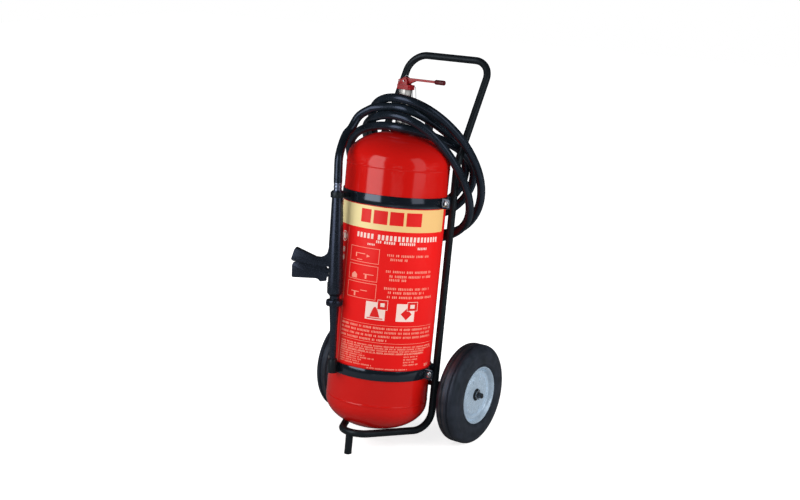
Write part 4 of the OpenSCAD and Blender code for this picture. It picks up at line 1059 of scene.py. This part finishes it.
class EXTINGUISHER_OT_lance(bpy.types.Operator):
    """Make the pistol lance with its ferrule, ring and nozzle"""

    bl_idname = "extinguisher.lance"
    bl_label = "Lance"

    def execute(self, context):
        softened("pistol_nylon", "pistol_body", "nylon", 2.2, 3)
        softened("trigger_nylon", "trigger_lever", "nylon", 1.6, 3)
        bore, low, high = 7, BARREL_LEN + COLLAR_H, LANCE_END
        collar = [(bore, BARREL_LEN), (16.2, BARREL_LEN)]
        for z in (BARREL_LEN + 1 + i * 3.6 for i in range(4)):
            collar += [(17.5, z), (17.5, z + 2.4), (16.4, z + 2.9)]
        collar += [(16.4, low), (bore, low)]
        turned("collar_nylon", "lance_collar", "nylon", rounded(collar, 0.5, 2), 64, LANCE)
        r = HOSE_D / 2 - 0.5
        shell = [(bore, low), (r, low)]
        for z in (low + 4, low + 14):
            shell += [(r, z), (r - 0.9, z + 1), (r - 0.9, z + 3), (r, z + 4)]
        shell += [(r, high - 1), (r - 1, high), (bore, high)]
        turned("ferrule_crimped", "ferrule_lance", "ferrule", rounded(shell, 0.5, 2), 64, LANCE)
        make_coupling("ring_knurled", context.scene.extinguisher_sizes.knurl_count, bore)
        mouth = bore - 1.5
        steps = (
            (mouth, 160), (8.2, 160), (9.4, 158.5), (9.5, 155), (11.3, 53), (11.7, 52), (11.7, 49), (14.3, 3),
            (14.4, 0), (mouth, 0),
        )
        nozzle = rounded([(r, -RING_H - ahead) for r, ahead in steps], 0.6, 2)
        turned("nozzle_nylon", "nozzle_tube", "nylon", nozzle, 64, LANCE)
        softened("clip_steel", "lance_clip", "coat", 0.6)
        softened("holder_steel", "nozzle_holder", "coat", 0.6)
        return {"FINISHED"}


class EXTINGUISHER_OT_fittings(bpy.types.Operator):
    """Finish the CAD parts that keep their own shape"""

    bl_idname = "extinguisher.fittings"
    bl_label = "Fittings"

    def execute(self, context):
        for finish, names in (
            ("zinc", ("safety_pin", "pin_ring", "lever_pin", "trigger_pin", "valve_spindle")),
            ("wire", ("tether_loop",)), ("nickel", ("relief_plug",)), ("ferrule", ("ferrule_valve",)),
            ("polypropylene", ("siphon_tube", "siphon_strainer")),
        ):
            for name in names:
                NODES[name].data.materials.clear()
                NODES[name].data.materials.append(FINISH[finish])
        return {"FINISHED"}


class EXTINGUISHER_PT_pieces(bpy.types.Panel):
    """Lists the pieces of the extinguisher and their settings"""

    bl_label = "Wheeled Extinguisher"
    bl_idname = "EXTINGUISHER_PT_pieces"
    bl_space_type = "VIEW_3D"
    bl_region_type = "UI"
    bl_category = "Extinguisher"

    def draw(self, context):
        for group in (context.scene.extinguisher_sizes, context.scene.extinguisher_colours):
            box = self.layout.box()
            for key in group.__annotations__:
                box.prop(group, key)
        column = self.layout.column()
        for operator in OPERATORS:
            column.operator(operator.bl_idname)


OPERATORS = (
    EXTINGUISHER_OT_stage, EXTINGUISHER_OT_hose, EXTINGUISHER_OT_tank, EXTINGUISHER_OT_label,
    EXTINGUISHER_OT_trolley, EXTINGUISHER_OT_wheels, EXTINGUISHER_OT_valve, EXTINGUISHER_OT_lance,
    EXTINGUISHER_OT_fittings,
)
CLASSES = (ExtinguisherSizes, ExtinguisherColours, *OPERATORS, EXTINGUISHER_PT_pieces)


def register():
    for item in CLASSES:
        bpy.utils.register_class(item)
    bpy.types.Scene.extinguisher_sizes = bpy.props.PointerProperty(type=ExtinguisherSizes)
    bpy.types.Scene.extinguisher_colours = bpy.props.PointerProperty(type=ExtinguisherColours)


def unregister():
    del bpy.types.Scene.extinguisher_colours
    del bpy.types.Scene.extinguisher_sizes
    for item in reversed(CLASSES):
        bpy.utils.unregister_class(item)


def main():
    register()
    FINISH.update(make_materials(bpy.context.scene.extinguisher_colours))
    for operator in OPERATORS:
        group, name = operator.bl_idname.split(".")
        getattr(getattr(bpy.ops, group), name)()


if __name__ == "__main__":
    main()
